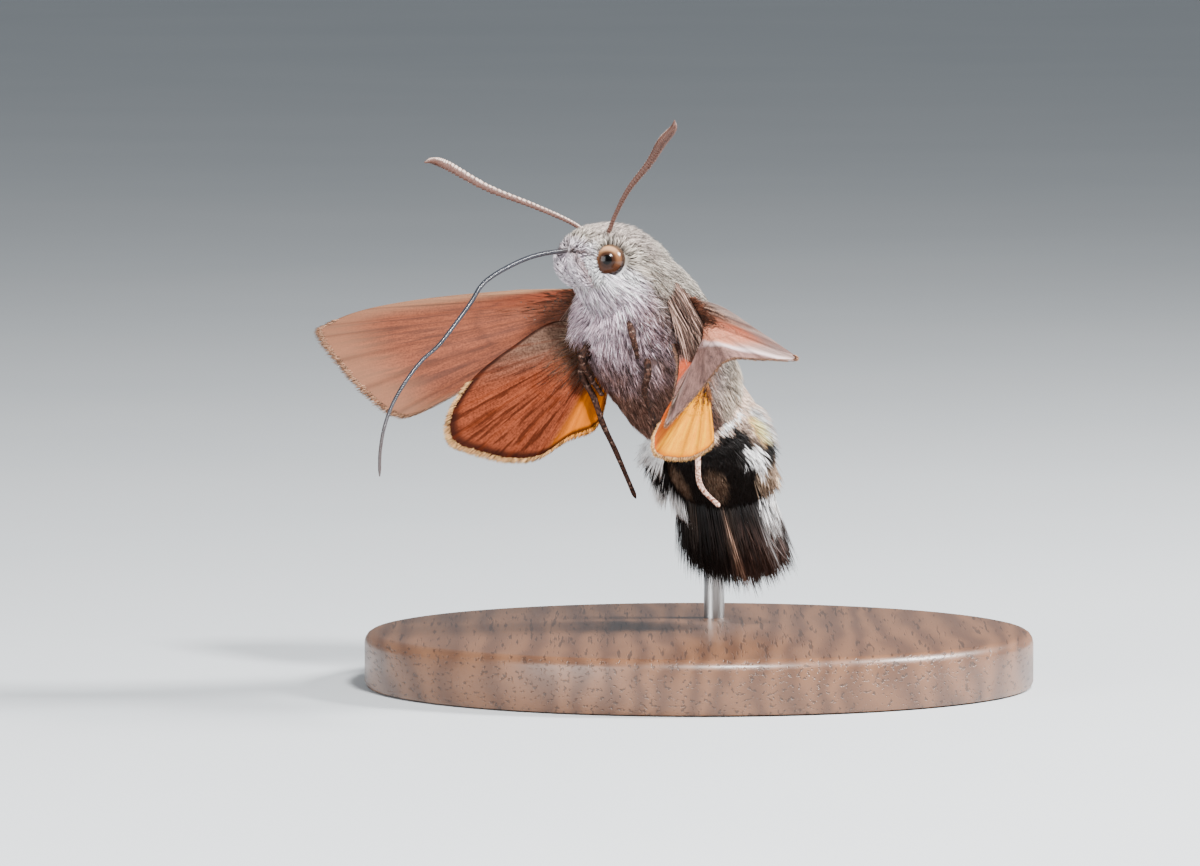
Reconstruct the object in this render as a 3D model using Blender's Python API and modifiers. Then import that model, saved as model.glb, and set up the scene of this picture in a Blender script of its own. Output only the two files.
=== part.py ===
"""A hummingbird hawk moth, life size, hovering with its tongue out, on a plain display stand.

All sizes are in millimetres and become metres where a mesh is made. The body has its own axes:
x forward along the thorax, y to the moth's left, z towards its back, from the middle of the
thorax. The head has the same axes turned on the neck. The world origin is the middle of the
stand's underside, with z up.
"""
import math
import random

import bmesh
import bpy
import numpy as np
from mathutils import Matrix, Vector

MM = 0.001
GAP = 0.3
AROUND = 20

# Pose of the whole body over the stand
THORAX_CENTRE = (-3.1, -3.0, 24.7)
BODY_TURN = 230.0
BODY_RISE = 42.8
BODY_LEAN = -3.0

# Pose of the head on the body
HEAD_CENTRE = (9.2, 0.0, 0.0)
HEAD_EULER = (-8.2, 27.1, -14.9)

# Body forms: place along the axis, half width, height of the back, depth of the belly
THORAX_STATIONS = [
    (6.6, 3.35, 3.3, 2.9),
    (5.9, 3.9, 4.1, 3.5),
    (4.6, 4.35, 4.75, 4.15),
    (2.8, 4.65, 5.0, 4.6),
    (0.8, 4.75, 4.95, 4.85),
    (-1.4, 4.6, 4.75, 5.0),
    (-3.4, 4.35, 4.4, 5.05),
    (-5.0, 4.05, 4.0, 4.8),
    (-6.1, 3.75, 3.6, 4.35),
    (-6.7, 3.45, 3.3, 3.8),
]
HEAD_STATIONS = [
    (-3.6, 3.0, 2.9, 3.3),
    (-2.4, 3.0, 3.0, 3.2),
    (-1.1, 2.85, 2.9, 2.8),
    (0.0, 2.65, 2.7, 2.2),
    (0.9, 2.35, 2.35, 1.7),
    (1.7, 1.85, 1.85, 1.15),
    (2.4, 1.2, 1.15, 0.65),
    (2.8, 0.6, 0.6, 0.35),
]
ABDOMEN_STATIONS = [
    (0.0, 3.45, 3.3, 3.8),
    (1.0, 4.0, 3.4, 3.7),
    (2.2, 4.5, 3.3, 3.5),
    (3.5, 4.8, 3.1, 3.3),
    (4.7, 4.85, 2.85, 3.0),
    (5.9, 4.6, 2.5, 2.6),
    (6.9, 4.1, 2.1, 2.2),
]
FAN_STATIONS = [
    (0.0, 3.9, 2.0, 2.1),
    (1.0, 4.2, 1.9, 1.9),
    (2.0, 4.4, 1.45, 1.45),
    (2.9, 4.2, 0.9, 0.9),
    (3.4, 3.6, 0.5, 0.5),
]

# Tail locks in tiers: how many, where they root along the fan, height there as a share of the
# fan's, how far the middle ones reach along the fan
FAN_TIERS = [
    (10, 1.0, 0.72, 5.7),
    (11, 1.7, 0.0, 6.2),
    (10, 1.0, -0.72, 5.7),
]
FAN_LOCK_WIDTH = 1.15
FAN_LOCK_THICKNESS = 0.62
FAN_SPREAD = 1.4
FAN_ROUNDING = 1.35
FAN_SEED = 7

# Side tufts of the abdomen: the sides that carry it, 1 for left and -1 for right, where each
# roots along it, its angle from the belly in degrees, how long its locks are and how far they
# stand off
SIDE_TUFTS = [
    ((-1,), 0.9, 48.0, 2.6, 1.7),
    ((1, -1), 2.4, 76.0, 2.3, 0.3),
    ((1, -1), 4.0, 82.0, 2.4, 0.3),
    ((1, -1), 5.5, 88.0, 2.6, 0.35),
]
TUFT_LOCKS = 5
TUFT_FAN_OUT = 15.0
LOCK_WIDTH = 1.0
LOCK_THICKNESS = 0.55
LOCK_STEPS = [(0.0, 0.9), (0.35, 1.0), (0.65, 0.8), (0.87, 0.45), (1.0, 0.12)]

# The abdomen's middle line: it leaves the thorax straight and bends towards the belly
ABDOMEN_START = (-6.7 - GAP, 0.0, -0.15)
ABDOMEN_BEND = 30.0
ABDOMEN_BEND_OVER = 1.8

EYE_PLACE = (0.05, 1.72, 0.15)
EYE_RADIUS = 1.25

PALP_LINE = [(0.1, 0.9, -2.1), (0.9, 0.98, -1.75), (1.7, 0.98, -1.05), (2.35, 0.8, -0.35)]
PALP_RADII = [0.7, 0.82, 0.8, 0.45]

PROBOSCIS_LINE = [
    (2.3, 0.0, 0.3),
    (3.2, 0.0, -0.02),
    (4.5, 0.0, -0.5),
    (5.8, 0.0, -1.15),
    (7.2, 0.0, -2.1),
    (8.35, 0.0, -3.05),
    (9.1, 0.0, -3.95),
    (9.65, 0.0, -5.3),
    (10.5, 0.0, -6.95),
    (11.5, 0.0, -8.75),
    (12.6, 0.0, -10.1),
    (13.5, 0.0, -11.7),
    (14.2, 0.0, -13.5),
    (14.5, 0.0, -15.3),
    (14.4, 0.0, -17.1),
    (14.0, 0.0, -18.8),
]
PROBOSCIS_RADIUS = 0.25
PROBOSCIS_TIP_RADIUS = 0.12

ANTENNA_LEFT_LINE = [
    (0.35, 1.25, 1.75),
    (1.1, 2.9, 3.5),
    (1.95, 5.05, 5.1),
    (2.6, 7.7, 6.85),
    (3.3, 9.7, 8.3),
    (3.6, 11.1, 9.2),
    (3.9, 11.5, 9.75),
]
ANTENNA_RIGHT_LINE = [
    (0.45, -0.8, 1.75),
    (1.6, -1.7, 2.4),
    (3.75, -3.5, 3.0),
    (6.4, -5.85, 3.6),
    (8.75, -7.85, 4.55),
    (9.6, -8.6, 4.7),
    (10.1, -8.9, 4.45),
]
ANTENNA_RADII = [0.25, 0.25, 0.28, 0.33, 0.4, 0.3, 0.1]

# Wing margins: out along the span, back along the chord, off the wing's plane. The far pair is
# drawn flat; the near pair is twisted and folded in, as it is held at this point of the beat.
FOREWING_OUTLINE = [
    (0.0, 0.0, 0.0),
    (6.0, -0.55, 0.0),
    (13.0, -0.5, 0.0),
    (18.6, 0.2, 0.0),
    (21.6, 1.7, 0.0),
    (21.2, 3.6, 0.0),
    (19.4, 6.2, 0.0),
    (17.0, 9.0, 0.0),
    (14.2, 11.0, 0.0),
    (11.2, 9.9, 0.0),
    (7.0, 6.6, 0.0),
    (3.2, 3.9, 0.0),
    (0.5, 1.9, 0.0),
]
FOREWING_TWISTED = [
    (0.0, 0.0, 0.0),
    (5.9, -0.35, -0.1),
    (12.8, 0.3, -0.15),
    (18.4, 0.9, -0.2),
    (21.6, 1.4, -0.1),
    (20.9, 3.2, -1.75),
    (19.05, 4.7, -2.75),
    (17.05, 6.7, -1.75),
    (14.3, 10.1, -0.4),
    (11.5, 8.25, 0.0),
    (7.3, 6.05, 0.95),
    (3.5, 4.1, 1.6),
    (0.65, 2.5, 1.15),
]
HINDWING_OUTLINE = [
    (0.0, 0.0, 0.0),
    (2.6, -2.2, 0.0),
    (6.4, -2.5, 0.0),
    (10.2, -2.3, 0.0),
    (13.4, -1.1, 0.0),
    (14.5, 0.5, 0.0),
    (13.3, 2.2, 0.0),
    (11.4, 4.0, 0.0),
    (9.0, 5.3, 0.0),
    (6.1, 5.5, -0.2),
    (3.7, 6.0, -0.45),
    (1.9, 4.8, -0.45),
    (0.2, 2.4, 0.0),
]
HINDWING_FOLDED = [
    (0.0, 0.0, 0.0),
    (2.6, -0.9, 0.0),
    (6.45, -1.1, 0.0),
    (10.3, -0.95, -0.1),
    (13.55, -0.65, -0.2),
    (14.7, 0.25, -0.3),
    (13.25, 1.75, 0.15),
    (11.2, 2.6, 0.35),
    (8.55, 3.05, 0.65),
    (6.15, 2.55, 0.3),
    (3.9, 1.8, 0.05),
    (1.8, 1.05, -0.2),
    (0.4, 0.6, -0.4),
]
WING_RAYS = 13
CUP_RAYS = (0.32, 0.68)
WING_STEPS = 9
VEIN_THICKNESS = 0.85
MEMBRANE_SHARE = 0.6

# Each wing: root on the body, span and chord directions in the body's axes, rear end of the
# hinge line in the wing's own axes, and how far its middle is cupped towards the underside
WINGS = {
    "forewing_left": {
        "outline": FOREWING_TWISTED,
        "root": (3.5, 3.6, 1.9),
        "span": (0.242, 0.914, -0.325),
        "chord": (-0.019, -0.334, -0.943),
        "hinge_rear": (0.3, 0.9, 4.6),
        "cup": 0.0,
    },
    "forewing_right": {
        "outline": FOREWING_OUTLINE,
        "root": (3.2, -3.95, 2.1),
        "span": (0.225, -0.895, -0.375),
        "chord": (-0.024, 0.38, -0.92),
        "hinge_rear": (0.2, 0.9, -1.4),
        "cup": 1.2,
    },
    "hindwing_left": {
        "outline": HINDWING_FOLDED,
        "root": (-1.9, 4.0, -0.9),
        "span": (0.428, 0.454, -0.779),
        "chord": (-0.854, 0.494, -0.186),
        "hinge_rear": (0.0, 0.3, 0.0),
        "cup": 0.0,
    },
    "hindwing_right": {
        "outline": HINDWING_OUTLINE,
        "root": (2.7, -3.4, -1.05),
        "span": (0.243, -0.256, -0.935),
        "chord": (-0.9, 0.27, -0.31),
        "hinge_rear": (0.0, 2.4, 0.0),
        "cup": 0.6,
    },
}

# Legs lie along the chest: place along the body, angle round it from the belly, lift off it
LEGS = {
    "foreleg_left": [(6.0, 44.0, -1.0), (5.4, 43.0, 0.65), (4.5, 40.0, 0.6), (3.6, 37.0, 0.6)],
    "foreleg_right": [(4.8, -14.0, -1.0), (4.0, -18.0, 0.65), (2.0, -20.0, 0.6), (0.4, -16.0, 0.6)],
    "midleg_left": [(2.9, 44.0, -1.0), (2.2, 38.0, 0.65), (0.9, 28.0, 0.65), (-1.8, 22.0, 0.65),
                    (-3.3, 17.0, 0.7)],
    "midleg_right": [(3.6, -26.0, -1.0), (2.4, -30.0, 0.7)],
    "hindleg_left": [(-4.6, 38.0, -1.0), (-5.4, 34.0, 0.7), (-6.6, 32.0, 1.0)],
    "hindleg_right": [(-2.6, -62.0, -1.0), (-3.4, -64.0, 0.7), (-4.8, -66.0, 0.75),
                      (-5.9, -68.0, 0.75)],
}
LEG_FREE_ENDS = {
    "midleg_right": [(0.4, -2.2, -5.5), (-1.7, -2.1, -6.3), (-4.4, -2.4, -6.6), (-8.7, -2.7, -7.4)],
    "hindleg_left": [(-8.0, 3.0, -6.0), (-9.2, 4.7, -6.9)],
}
LEG_RADIUS = 0.36
LEG_TIP_RADIUS = 0.2

STAND_RADIUS = 24.0
STAND_HEIGHT = 4.0
STAND_EDGE = 0.8
ROD_RADIUS = 0.75
ROD_LINE = [
    (1.2, 10.5, 5.0),
    (1.2, 10.5, 9.0),
    (1.2, 10.45, 12.6),
    (1.2, 9.3, 15.7),
    (1.2, 6.4, 17.0),
    (1.2, 3.0, 17.4),
]
SOCKET_DEPTH = 2.5


def clear_scene():
    """Remove everything that Blender starts with."""
    for thing in list(bpy.data.objects):
        bpy.data.objects.remove(thing, do_unlink=True)


def make_collection(name):
    """A collection linked to the scene."""
    group = bpy.data.collections.new(name)
    bpy.context.scene.collection.children.link(group)
    return group


def make_material(name, colour, roughness, metallic=0.0):
    """A plain Principled material."""
    look = bpy.data.materials.new(name)
    look.use_nodes = True
    shader = look.node_tree.nodes["Principled BSDF"]
    shader.inputs["Base Color"].default_value = (*colour, 1.0)
    shader.inputs["Roughness"].default_value = roughness
    shader.inputs["Metallic"].default_value = metallic
    return look


def metres(point):
    """A place in millimetres as a vector in metres."""
    return Vector(point) * MM


def add_object(name, mesh, parent, look=None):
    """Put a mesh in the moth's collection under a parent."""
    thing = bpy.data.objects.new(name, mesh)
    if look is not None:
        mesh.materials.clear()
        mesh.materials.append(look)
    MOTH.objects.link(thing)
    thing.parent = parent
    return thing


def smooth_line(points, count):
    """Points evenly spread along a rounded curve that passes through the given ones."""
    given = np.array(points, dtype=float)
    before = 2 * given[0] - given[1]
    after = 2 * given[-1] - given[-2]
    held = np.vstack([before, given, after])
    places = np.linspace(0.0, len(given) - 1.000001, count)
    step = places.astype(int)
    t = (places - step)[:, None]
    a, b, c, d = (held[step + shift] for shift in range(4))
    return 0.5 * (2 * b + (c - a) * t + (2 * a - 5 * b + 4 * c - d) * t**2
                  + (3 * b - a - 3 * c + d) * t**3)


def loft_mesh(name, rings):
    """Skin rings of points, all of one length, and close both ends."""
    shape = bmesh.new()
    rows = [[shape.verts.new(metres(point)) for point in ring] for ring in rings]
    for row, following in zip(rows, rows[1:]):
        for k in range(len(row)):
            after = (k + 1) % len(row)
            shape.faces.new((row[k], row[after], following[after], following[k]))
    for row in (rows[0], rows[-1]):
        shape.faces.new(row)
    bmesh.ops.triangulate(shape, faces=shape.faces)
    bmesh.ops.recalc_face_normals(shape, faces=shape.faces)
    mesh = bpy.data.meshes.new(name)
    shape.to_mesh(mesh)
    shape.free()
    mesh.shade_smooth()
    mesh.set_sharp_from_angle(angle=math.radians(50.0))
    return mesh


def body_ring(centre, bend, half_width, back, belly, around=AROUND):
    """One cross-section of the body: a rounded form that is higher or deeper than it is wide."""
    middle = np.array(centre)
    across = np.array([0.0, 1.0, 0.0])
    up = np.array([-math.sin(bend), 0.0, math.cos(bend)])
    ring = []
    for k in range(around):
        angle = 2 * math.pi * k / around
        height = back if math.cos(angle) > 0 else belly
        ring.append(middle + across * half_width * math.sin(angle) + up * height * math.cos(angle))
    return ring


def thorax_sizes(along):
    """Half width, back and belly of the thorax at a place along it."""
    table = np.array(THORAX_STATIONS)[::-1]
    return [float(np.interp(along, table[:, 0], table[:, k])) for k in (1, 2, 3)]


def thorax_surface(along, angle, lift):
    """A place on the belly side: angle in degrees from the belly line, positive to the left."""
    half_width, _, belly = thorax_sizes(along)
    turn = math.radians(angle)
    out = np.array([math.sin(turn) * half_width, -math.cos(turn) * belly])
    facing = np.array([math.sin(turn) / half_width, -math.cos(turn) / belly])
    out = out + facing / np.linalg.norm(facing) * lift
    return (along, out[0], out[1])


def abdomen_bend(along):
    """How far the abdomen has turned towards the belly: it comes soon and then stays."""
    return math.radians(ABDOMEN_BEND) * (1 - math.exp(-(along / ABDOMEN_BEND_OVER) ** 1.6))


def abdomen_place(along):
    """Middle and bend of the abdomen at a distance from its front face."""
    steps = 40
    x, y, z = ABDOMEN_START
    for k in range(steps):
        at = along * (k + 0.5) / steps
        x -= math.cos(abdomen_bend(at)) * along / steps
        z -= math.sin(abdomen_bend(at)) * along / steps
    return (x, y, z), abdomen_bend(along)


def abdomen_rings(stations, start=0.0):
    """Cross-sections set along the abdomen's bent middle line."""
    rings = []
    for along, half_width, back, belly in stations:
        centre, bend = abdomen_place(start + along)
        rings.append(body_ring(centre, bend, half_width, back, belly))
    return rings


def sizes_at(stations, along):
    """Half width, back and belly of a body form at a place along it."""
    table = np.array(stations)
    return [float(np.interp(along, table[:, 0], table[:, k])) for k in (1, 2, 3)]


def tail_point(along, aside, above):
    """A place given along, beside and above the abdomen's bent middle line."""
    (x, y, z), bend = abdomen_place(along)
    return np.array([x - math.sin(bend) * above, y + aside, z + math.cos(bend) * above])


def lock_mesh(name, path, flat_side, width, thickness):
    """A flat lock: a four-sided section along a bent path, widest soon and tapered to a tip."""
    line = smooth_line(path, 21)
    normal = np.array(flat_side) / np.linalg.norm(flat_side)
    rings = []
    for share, size in LOCK_STEPS:
        k = min(int(share * 20), 19)
        forward = line[k + 1] - line[k]
        forward = forward / np.linalg.norm(forward)
        across = np.cross(normal, forward)
        across = across / np.linalg.norm(across)
        up = np.cross(forward, across)
        place = line[k] + (line[k + 1] - line[k]) * (share * 20 - k)
        half = across * width / 2 * size
        thick = up * thickness / 2 * (0.35 + 0.65 * size)
        rings.append([place + half, place + thick, place - half, place - thick])
    return loft_mesh(name, rings)


def join_locks(host, locks, solver="EXACT"):
    """Fuse a collection of locks to what they grow from and keep one closed body."""
    step = host.modifiers.new("locks", "BOOLEAN")
    step.operation = "UNION"
    step.operand_type = "COLLECTION"
    step.collection = locks
    step.solver = solver
    apply_modifiers(host)
    for lock in list(locks.objects):
        bpy.data.objects.remove(lock, do_unlink=True)
    bpy.data.collections.remove(locks)
    keep_largest(host)


def add_lock(locks, mesh, parent):
    """Put one lock in its collection, in the same axes as the body."""
    lock = bpy.data.objects.new(mesh.name, mesh)
    locks.objects.link(lock)
    lock.parent = parent


def fan_locks(fan, axes):
    """Tiers of flat locks that open towards the tail's edge and round off its corners."""
    draw = random.Random(FAN_SEED)
    start = ABDOMEN_STATIONS[-1][0] + GAP
    locks = make_collection("fan_locks")
    for tier, (count, root, height, reach) in enumerate(FAN_TIERS):
        half_width, back, belly = sizes_at(FAN_STATIONS, root)
        for k in range(count):
            across = (2 * k + 1) / count - 1
            base = across * (half_width - 0.75)
            rise = height * (back if height > 0 else belly)
            rise = rise * math.sqrt(1 - 0.7 * across**2)
            tip = reach - FAN_ROUNDING * across**2 + draw.uniform(-0.25, 0.25)
            path = []
            for t in (0.0, 0.33, 0.67, 1.0):
                along = root + (tip - root) * t
                aside = base * (1 + (FAN_SPREAD - 1) * t) + draw.uniform(-0.08, 0.08)
                above = rise * (1 - 0.75 * t)
                path.append(tail_point(start + along, aside, above))
            _, bend = abdomen_place(start + root)
            up = (-math.sin(bend), 0.25 * across, math.cos(bend))
            mesh = lock_mesh("fan_lock", path, up, FAN_LOCK_WIDTH, FAN_LOCK_THICKNESS)
            add_lock(locks, mesh, axes)
    join_locks(fan, locks)


def side_tufts(abdomen, axes):
    """Tufts of flat locks that lie back along both sides of the abdomen with their tips off it."""
    locks = make_collection("side_locks")
    for sides, root, angle, length, lift in SIDE_TUFTS:
        for sign in sides:
            for k in range(TUFT_LOCKS):
                spread = k - (TUFT_LOCKS - 1) / 2
                turn = math.radians(angle + spread * TUFT_FAN_OUT)
                long = length * (1 - 0.06 * spread**2)
                path = []
                for t in (0.0, 0.3, 0.65, 1.0):
                    along = root + long * t
                    half_width, back, belly = sizes_at(ABDOMEN_STATIONS, root)
                    off = -0.55 + (lift + 0.55) * t**0.8
                    height = back if math.cos(turn) < 0 else belly
                    aside = math.sin(turn) * (half_width + off)
                    above = -math.cos(turn) * (height + off)
                    path.append(tail_point(along, sign * aside, above))
                _, bend = abdomen_place(root)
                face_up = -math.cos(turn)
                face = (-math.sin(bend) * face_up, sign * math.sin(turn), math.cos(bend) * face_up)
                mesh = lock_mesh("side_lock", path, face, LOCK_WIDTH, LOCK_THICKNESS)
                add_lock(locks, mesh, axes)
    join_locks(abdomen, locks)


def apply_modifiers(thing):
    """Turn an object's shape with its modifiers into its own mesh."""
    bpy.context.view_layer.update()
    shown = thing.evaluated_get(bpy.context.evaluated_depsgraph_get())
    mesh = bpy.data.meshes.new_from_object(shown)
    thing.modifiers.clear()
    old = thing.data
    thing.data = mesh
    bpy.data.meshes.remove(old)


def keep_largest(thing):
    """Keep only the closed surface with the most room inside."""
    shape = bmesh.new()
    shape.from_mesh(thing.data)
    left = set(shape.verts)
    bodies = []
    while left:
        seed = left.pop()
        body = {seed}
        edge = [seed]
        while edge:
            for line in edge.pop().link_edges:
                for point in line.verts:
                    if point in left:
                        left.discard(point)
                        body.add(point)
                        edge.append(point)
        bodies.append(body)

    def extent(body):
        places = np.array([point.co[:] for point in body])
        return float(np.prod(places.max(0) - places.min(0) + 1e-6))

    bodies.sort(key=extent)
    loose = [point for body in bodies[:-1] for point in body]
    bmesh.ops.delete(shape, geom=loose, context="VERTS")
    bmesh.ops.triangulate(shape, faces=shape.faces)
    shape.to_mesh(thing.data)
    shape.free()


def grown_copy(host, gap):
    """A copy of a closed object with its faces moved outwards by the gap, for cutting."""
    shape = bmesh.new()
    shape.from_mesh(host.data)
    shape.normal_update()
    moves = [(point, point.normal * gap * MM) for point in shape.verts]
    for point, move in moves:
        point.co += move
    mesh = bpy.data.meshes.new(host.name + "_room")
    shape.to_mesh(mesh)
    shape.free()
    cutter = bpy.data.objects.new(host.name + "_room", mesh)
    CUTTERS.objects.link(cutter)
    bpy.context.view_layer.update()
    cutter.matrix_world = host.matrix_world
    cutter.hide_render = True
    cutter.display_type = "WIRE"
    return cutter


def cut(thing, cutter, solver="EXACT"):
    """Take the cutter's room out of an object and drop what that leaves loose."""
    step = thing.modifiers.new("room", "BOOLEAN")
    step.operation = "DIFFERENCE"
    step.solver = solver
    step.object = cutter
    apply_modifiers(thing)
    keep_largest(thing)


def cut_clear(thing, hosts, gap=GAP, solver="EXACT"):
    """Trim an object so that it meets each host face to face with the gap between them."""
    for host in hosts:
        cutter = grown_copy(host, gap)
        cut(thing, cutter, solver)
        bpy.data.objects.remove(cutter, do_unlink=True)


def tube(name, points, radii, parent, look, count, sides_level=2):
    """A closed tube along a rounded line, its radius passing through the given ones."""
    line = smooth_line(points, count)
    size = smooth_line([(radius,) for radius in radii], count)[:, 0]
    curve = bpy.data.curves.new(name, "CURVE")
    curve.dimensions = "3D"
    curve.bevel_depth = MM
    curve.bevel_resolution = sides_level
    curve.use_fill_caps = True
    spline = curve.splines.new("POLY")
    spline.points.add(count - 1)
    for point, place, radius in zip(spline.points, line, size):
        point.co = (*metres(place), 1.0)
        point.radius = radius
    rail = bpy.data.objects.new(name + "_line", curve)
    MOTH.objects.link(rail)
    bpy.context.view_layer.update()
    mesh = bpy.data.meshes.new_from_object(rail.evaluated_get(bpy.context.evaluated_depsgraph_get()))
    bpy.data.objects.remove(rail, do_unlink=True)
    bpy.data.curves.remove(curve)
    shape = bmesh.new()
    shape.from_mesh(mesh)
    bmesh.ops.remove_doubles(shape, verts=shape.verts, dist=1e-6)
    bmesh.ops.triangulate(shape, faces=shape.faces)
    bmesh.ops.recalc_face_normals(shape, faces=shape.faces)
    shape.to_mesh(mesh)
    shape.free()
    mesh.name = name
    mesh.shade_smooth()
    return add_object(name, mesh, parent, look)


def cup_share(share):
    """How much of the cup a ray takes: none before the tip's ray or behind the hind corner's."""
    first, last = CUP_RAYS
    return math.sin(math.pi * min(max((share - first) / (last - first), 0.0), 1.0))


def wing(name, plan, parent, look):
    """A wing: rays from the hinge to the margin, cupped, with every other ray a raised vein."""
    margin = smooth_line(plan["outline"], WING_RAYS)
    shape = bmesh.new()
    veins = []
    rows = []
    for ray in range(WING_RAYS):
        share = ray / (WING_RAYS - 1)
        base = np.array(plan["hinge_rear"]) * share
        edge = margin[ray]
        row = []
        for step in range(WING_STEPS + 1):
            out = step / WING_STEPS
            place = base + (edge - base) * out
            place[2] += plan["cup"] * cup_share(share) * out**1.5
            point = shape.verts.new(metres(place))
            row.append(point)
            if ray % 2 == 0:
                veins.append(len(rows) * (WING_STEPS + 1) + step)
        rows.append(row)
    for row, following in zip(rows, rows[1:]):
        for k in range(WING_STEPS):
            shape.faces.new((row[k], following[k], following[k + 1], row[k + 1]))
    bmesh.ops.triangulate(shape, faces=shape.faces)
    mesh = bpy.data.meshes.new(name)
    shape.to_mesh(mesh)
    shape.free()
    thing = add_object(name, mesh, parent, look)
    group = thing.vertex_groups.new(name="veins")
    group.add(veins, 1.0, "REPLACE")
    wall = thing.modifiers.new("thickness", "SOLIDIFY")
    wall.thickness = VEIN_THICKNESS * MM
    wall.offset = 0.0
    wall.vertex_group = "veins"
    wall.thickness_vertex_group = MEMBRANE_SHARE
    apply_modifiers(thing)
    span = Vector(plan["span"]).normalized()
    chord = Vector(plan["chord"])
    chord = (chord - span * chord.dot(span)).normalized()
    turn = Matrix((span, chord, span.cross(chord))).transposed()
    thing.location = metres(plan["root"])
    thing.rotation_euler = turn.to_euler()
    return thing


def mirrored(points):
    """The same line on the other side."""
    return [(x, -y, z) for x, y, z in points]


def build_bodies(axes, head_axes, coat):
    """Thorax, abdomen, tail fan and head, each a loft, parted by the gap."""
    thorax_rings = [body_ring((s[0], 0.0, 0.0), 0.0, *s[1:]) for s in THORAX_STATIONS]
    thorax = add_object("thorax", loft_mesh("thorax", thorax_rings), axes, coat)
    abdomen = add_object("abdomen", loft_mesh("abdomen", abdomen_rings(ABDOMEN_STATIONS)), axes, coat)
    fan_start = ABDOMEN_STATIONS[-1][0] + GAP
    fan_rings = abdomen_rings(FAN_STATIONS, fan_start)
    fan = add_object("tail_fan", loft_mesh("tail_fan", fan_rings), axes, FAN_LOOK)
    fan_locks(fan, axes)
    side_tufts(abdomen, axes)
    cut_clear(abdomen, [fan])
    head_rings = [body_ring((s[0], 0.0, 0.0), 0.0, *s[1:]) for s in HEAD_STATIONS]
    head = add_object("head", loft_mesh("head", head_rings), head_axes, coat)
    cut_clear(head, [thorax])
    return thorax, abdomen, head


def build_eyes(head, head_axes, look):
    """Two round eyes, each deep in a hollow cut for it."""
    for side, sign in (("left", 1), ("right", -1)):
        shape = bmesh.new()
        bmesh.ops.create_uvsphere(shape, u_segments=16, v_segments=10, radius=EYE_RADIUS * MM)
        mesh = bpy.data.meshes.new("eye_" + side)
        shape.to_mesh(mesh)
        shape.free()
        mesh.shade_smooth()
        eye = add_object("eye_" + side, mesh, head_axes, look)
        eye.location = metres((EYE_PLACE[0], sign * EYE_PLACE[1], EYE_PLACE[2]))
        cutter = grown_copy(eye, GAP)
        cut(head, cutter)
        bpy.data.objects.remove(cutter, do_unlink=True)


def build_mouth_and_feelers(head, solid_head, head_axes):
    """Palps, proboscis and antennae, each trimmed to the head."""
    palps = []
    for side, line in (("left", PALP_LINE), ("right", mirrored(PALP_LINE))):
        palp = tube("palp_" + side, line, PALP_RADII, head_axes, COAT_LOOK, 8, 3)
        cut_clear(palp, [solid_head])
        palps.append(palp)
    radii = [PROBOSCIS_RADIUS] * (len(PROBOSCIS_LINE) - 1) + [PROBOSCIS_TIP_RADIUS]
    tongue = tube("proboscis", PROBOSCIS_LINE, radii, head_axes, TONGUE_LOOK, 30)
    cut_clear(tongue, [solid_head] + palps)
    for side, line in (("left", ANTENNA_LEFT_LINE), ("right", ANTENNA_RIGHT_LINE)):
        feeler = tube("antenna_" + side, line, ANTENNA_RADII, head_axes, FEELER_LOOK, 19)
        cut_clear(feeler, [solid_head])


def build_wings(thorax, axes):
    """Four wings trimmed to the thorax."""
    made = {}
    for name, plan in WINGS.items():
        look = FOREWING_LOOK if name.startswith("fore") else HINDWING_LOOK
        made[name] = wing(name, plan, axes, look)
        cut_clear(made[name], [thorax], solver="MANIFOLD")
    return made


def build_legs(thorax, axes):
    """Six legs along the chest, three with their feet trailing free."""
    for name, plan in LEGS.items():
        line = [thorax_surface(*place) for place in plan] + LEG_FREE_ENDS.get(name, [])
        steps = len(line) - 1
        radii = [LEG_RADIUS + (LEG_TIP_RADIUS - LEG_RADIUS) * k / steps for k in range(steps + 1)]
        leg = tube(name, line, radii, axes, LEG_LOOK, 3 * steps + 1)
        cut_clear(leg, [thorax])


def build_stand(abdomen):
    """A turned base with a socket, and one bent rod from it up to the abdomen's back."""
    shape = bmesh.new()
    bmesh.ops.create_cone(shape, cap_ends=True, segments=64, radius1=STAND_RADIUS * MM,
                          radius2=STAND_RADIUS * MM, depth=STAND_HEIGHT * MM)
    rim = [edge for edge in shape.edges if all(point.co.z > 0 for point in edge.verts)]
    bmesh.ops.bevel(shape, geom=rim, offset=STAND_EDGE * MM, segments=3, affect="EDGES",
                    profile=0.5)
    mesh = bpy.data.meshes.new("stand_base")
    shape.to_mesh(mesh)
    shape.free()
    base = add_object("stand_base", mesh, None, BASE_LOOK)
    base.location = metres((0.0, 0.0, STAND_HEIGHT / 2))
    foot = (*ROD_LINE[0][:2], STAND_HEIGHT - SOCKET_DEPTH)
    radii = [ROD_RADIUS] * (len(ROD_LINE) + 1)
    rod = tube("stand_rod", [foot] + ROD_LINE, radii, None, ROD_LOOK, 17, 4)
    shape = bmesh.new()
    bmesh.ops.create_cone(shape, cap_ends=True, segments=24, radius1=(ROD_RADIUS + GAP) * MM,
                          radius2=(ROD_RADIUS + GAP) * MM, depth=STAND_HEIGHT * MM)
    mesh = bpy.data.meshes.new("socket_room")
    shape.to_mesh(mesh)
    shape.free()
    socket = bpy.data.objects.new("socket_room", mesh)
    CUTTERS.objects.link(socket)
    socket.location = metres((*foot[:2], foot[2] - GAP + STAND_HEIGHT / 2))
    socket.hide_render = True
    socket.display_type = "WIRE"
    bpy.context.view_layer.update()
    cut(base, socket)
    bpy.data.objects.remove(socket, do_unlink=True)
    cut_clear(rod, [abdomen])


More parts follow.
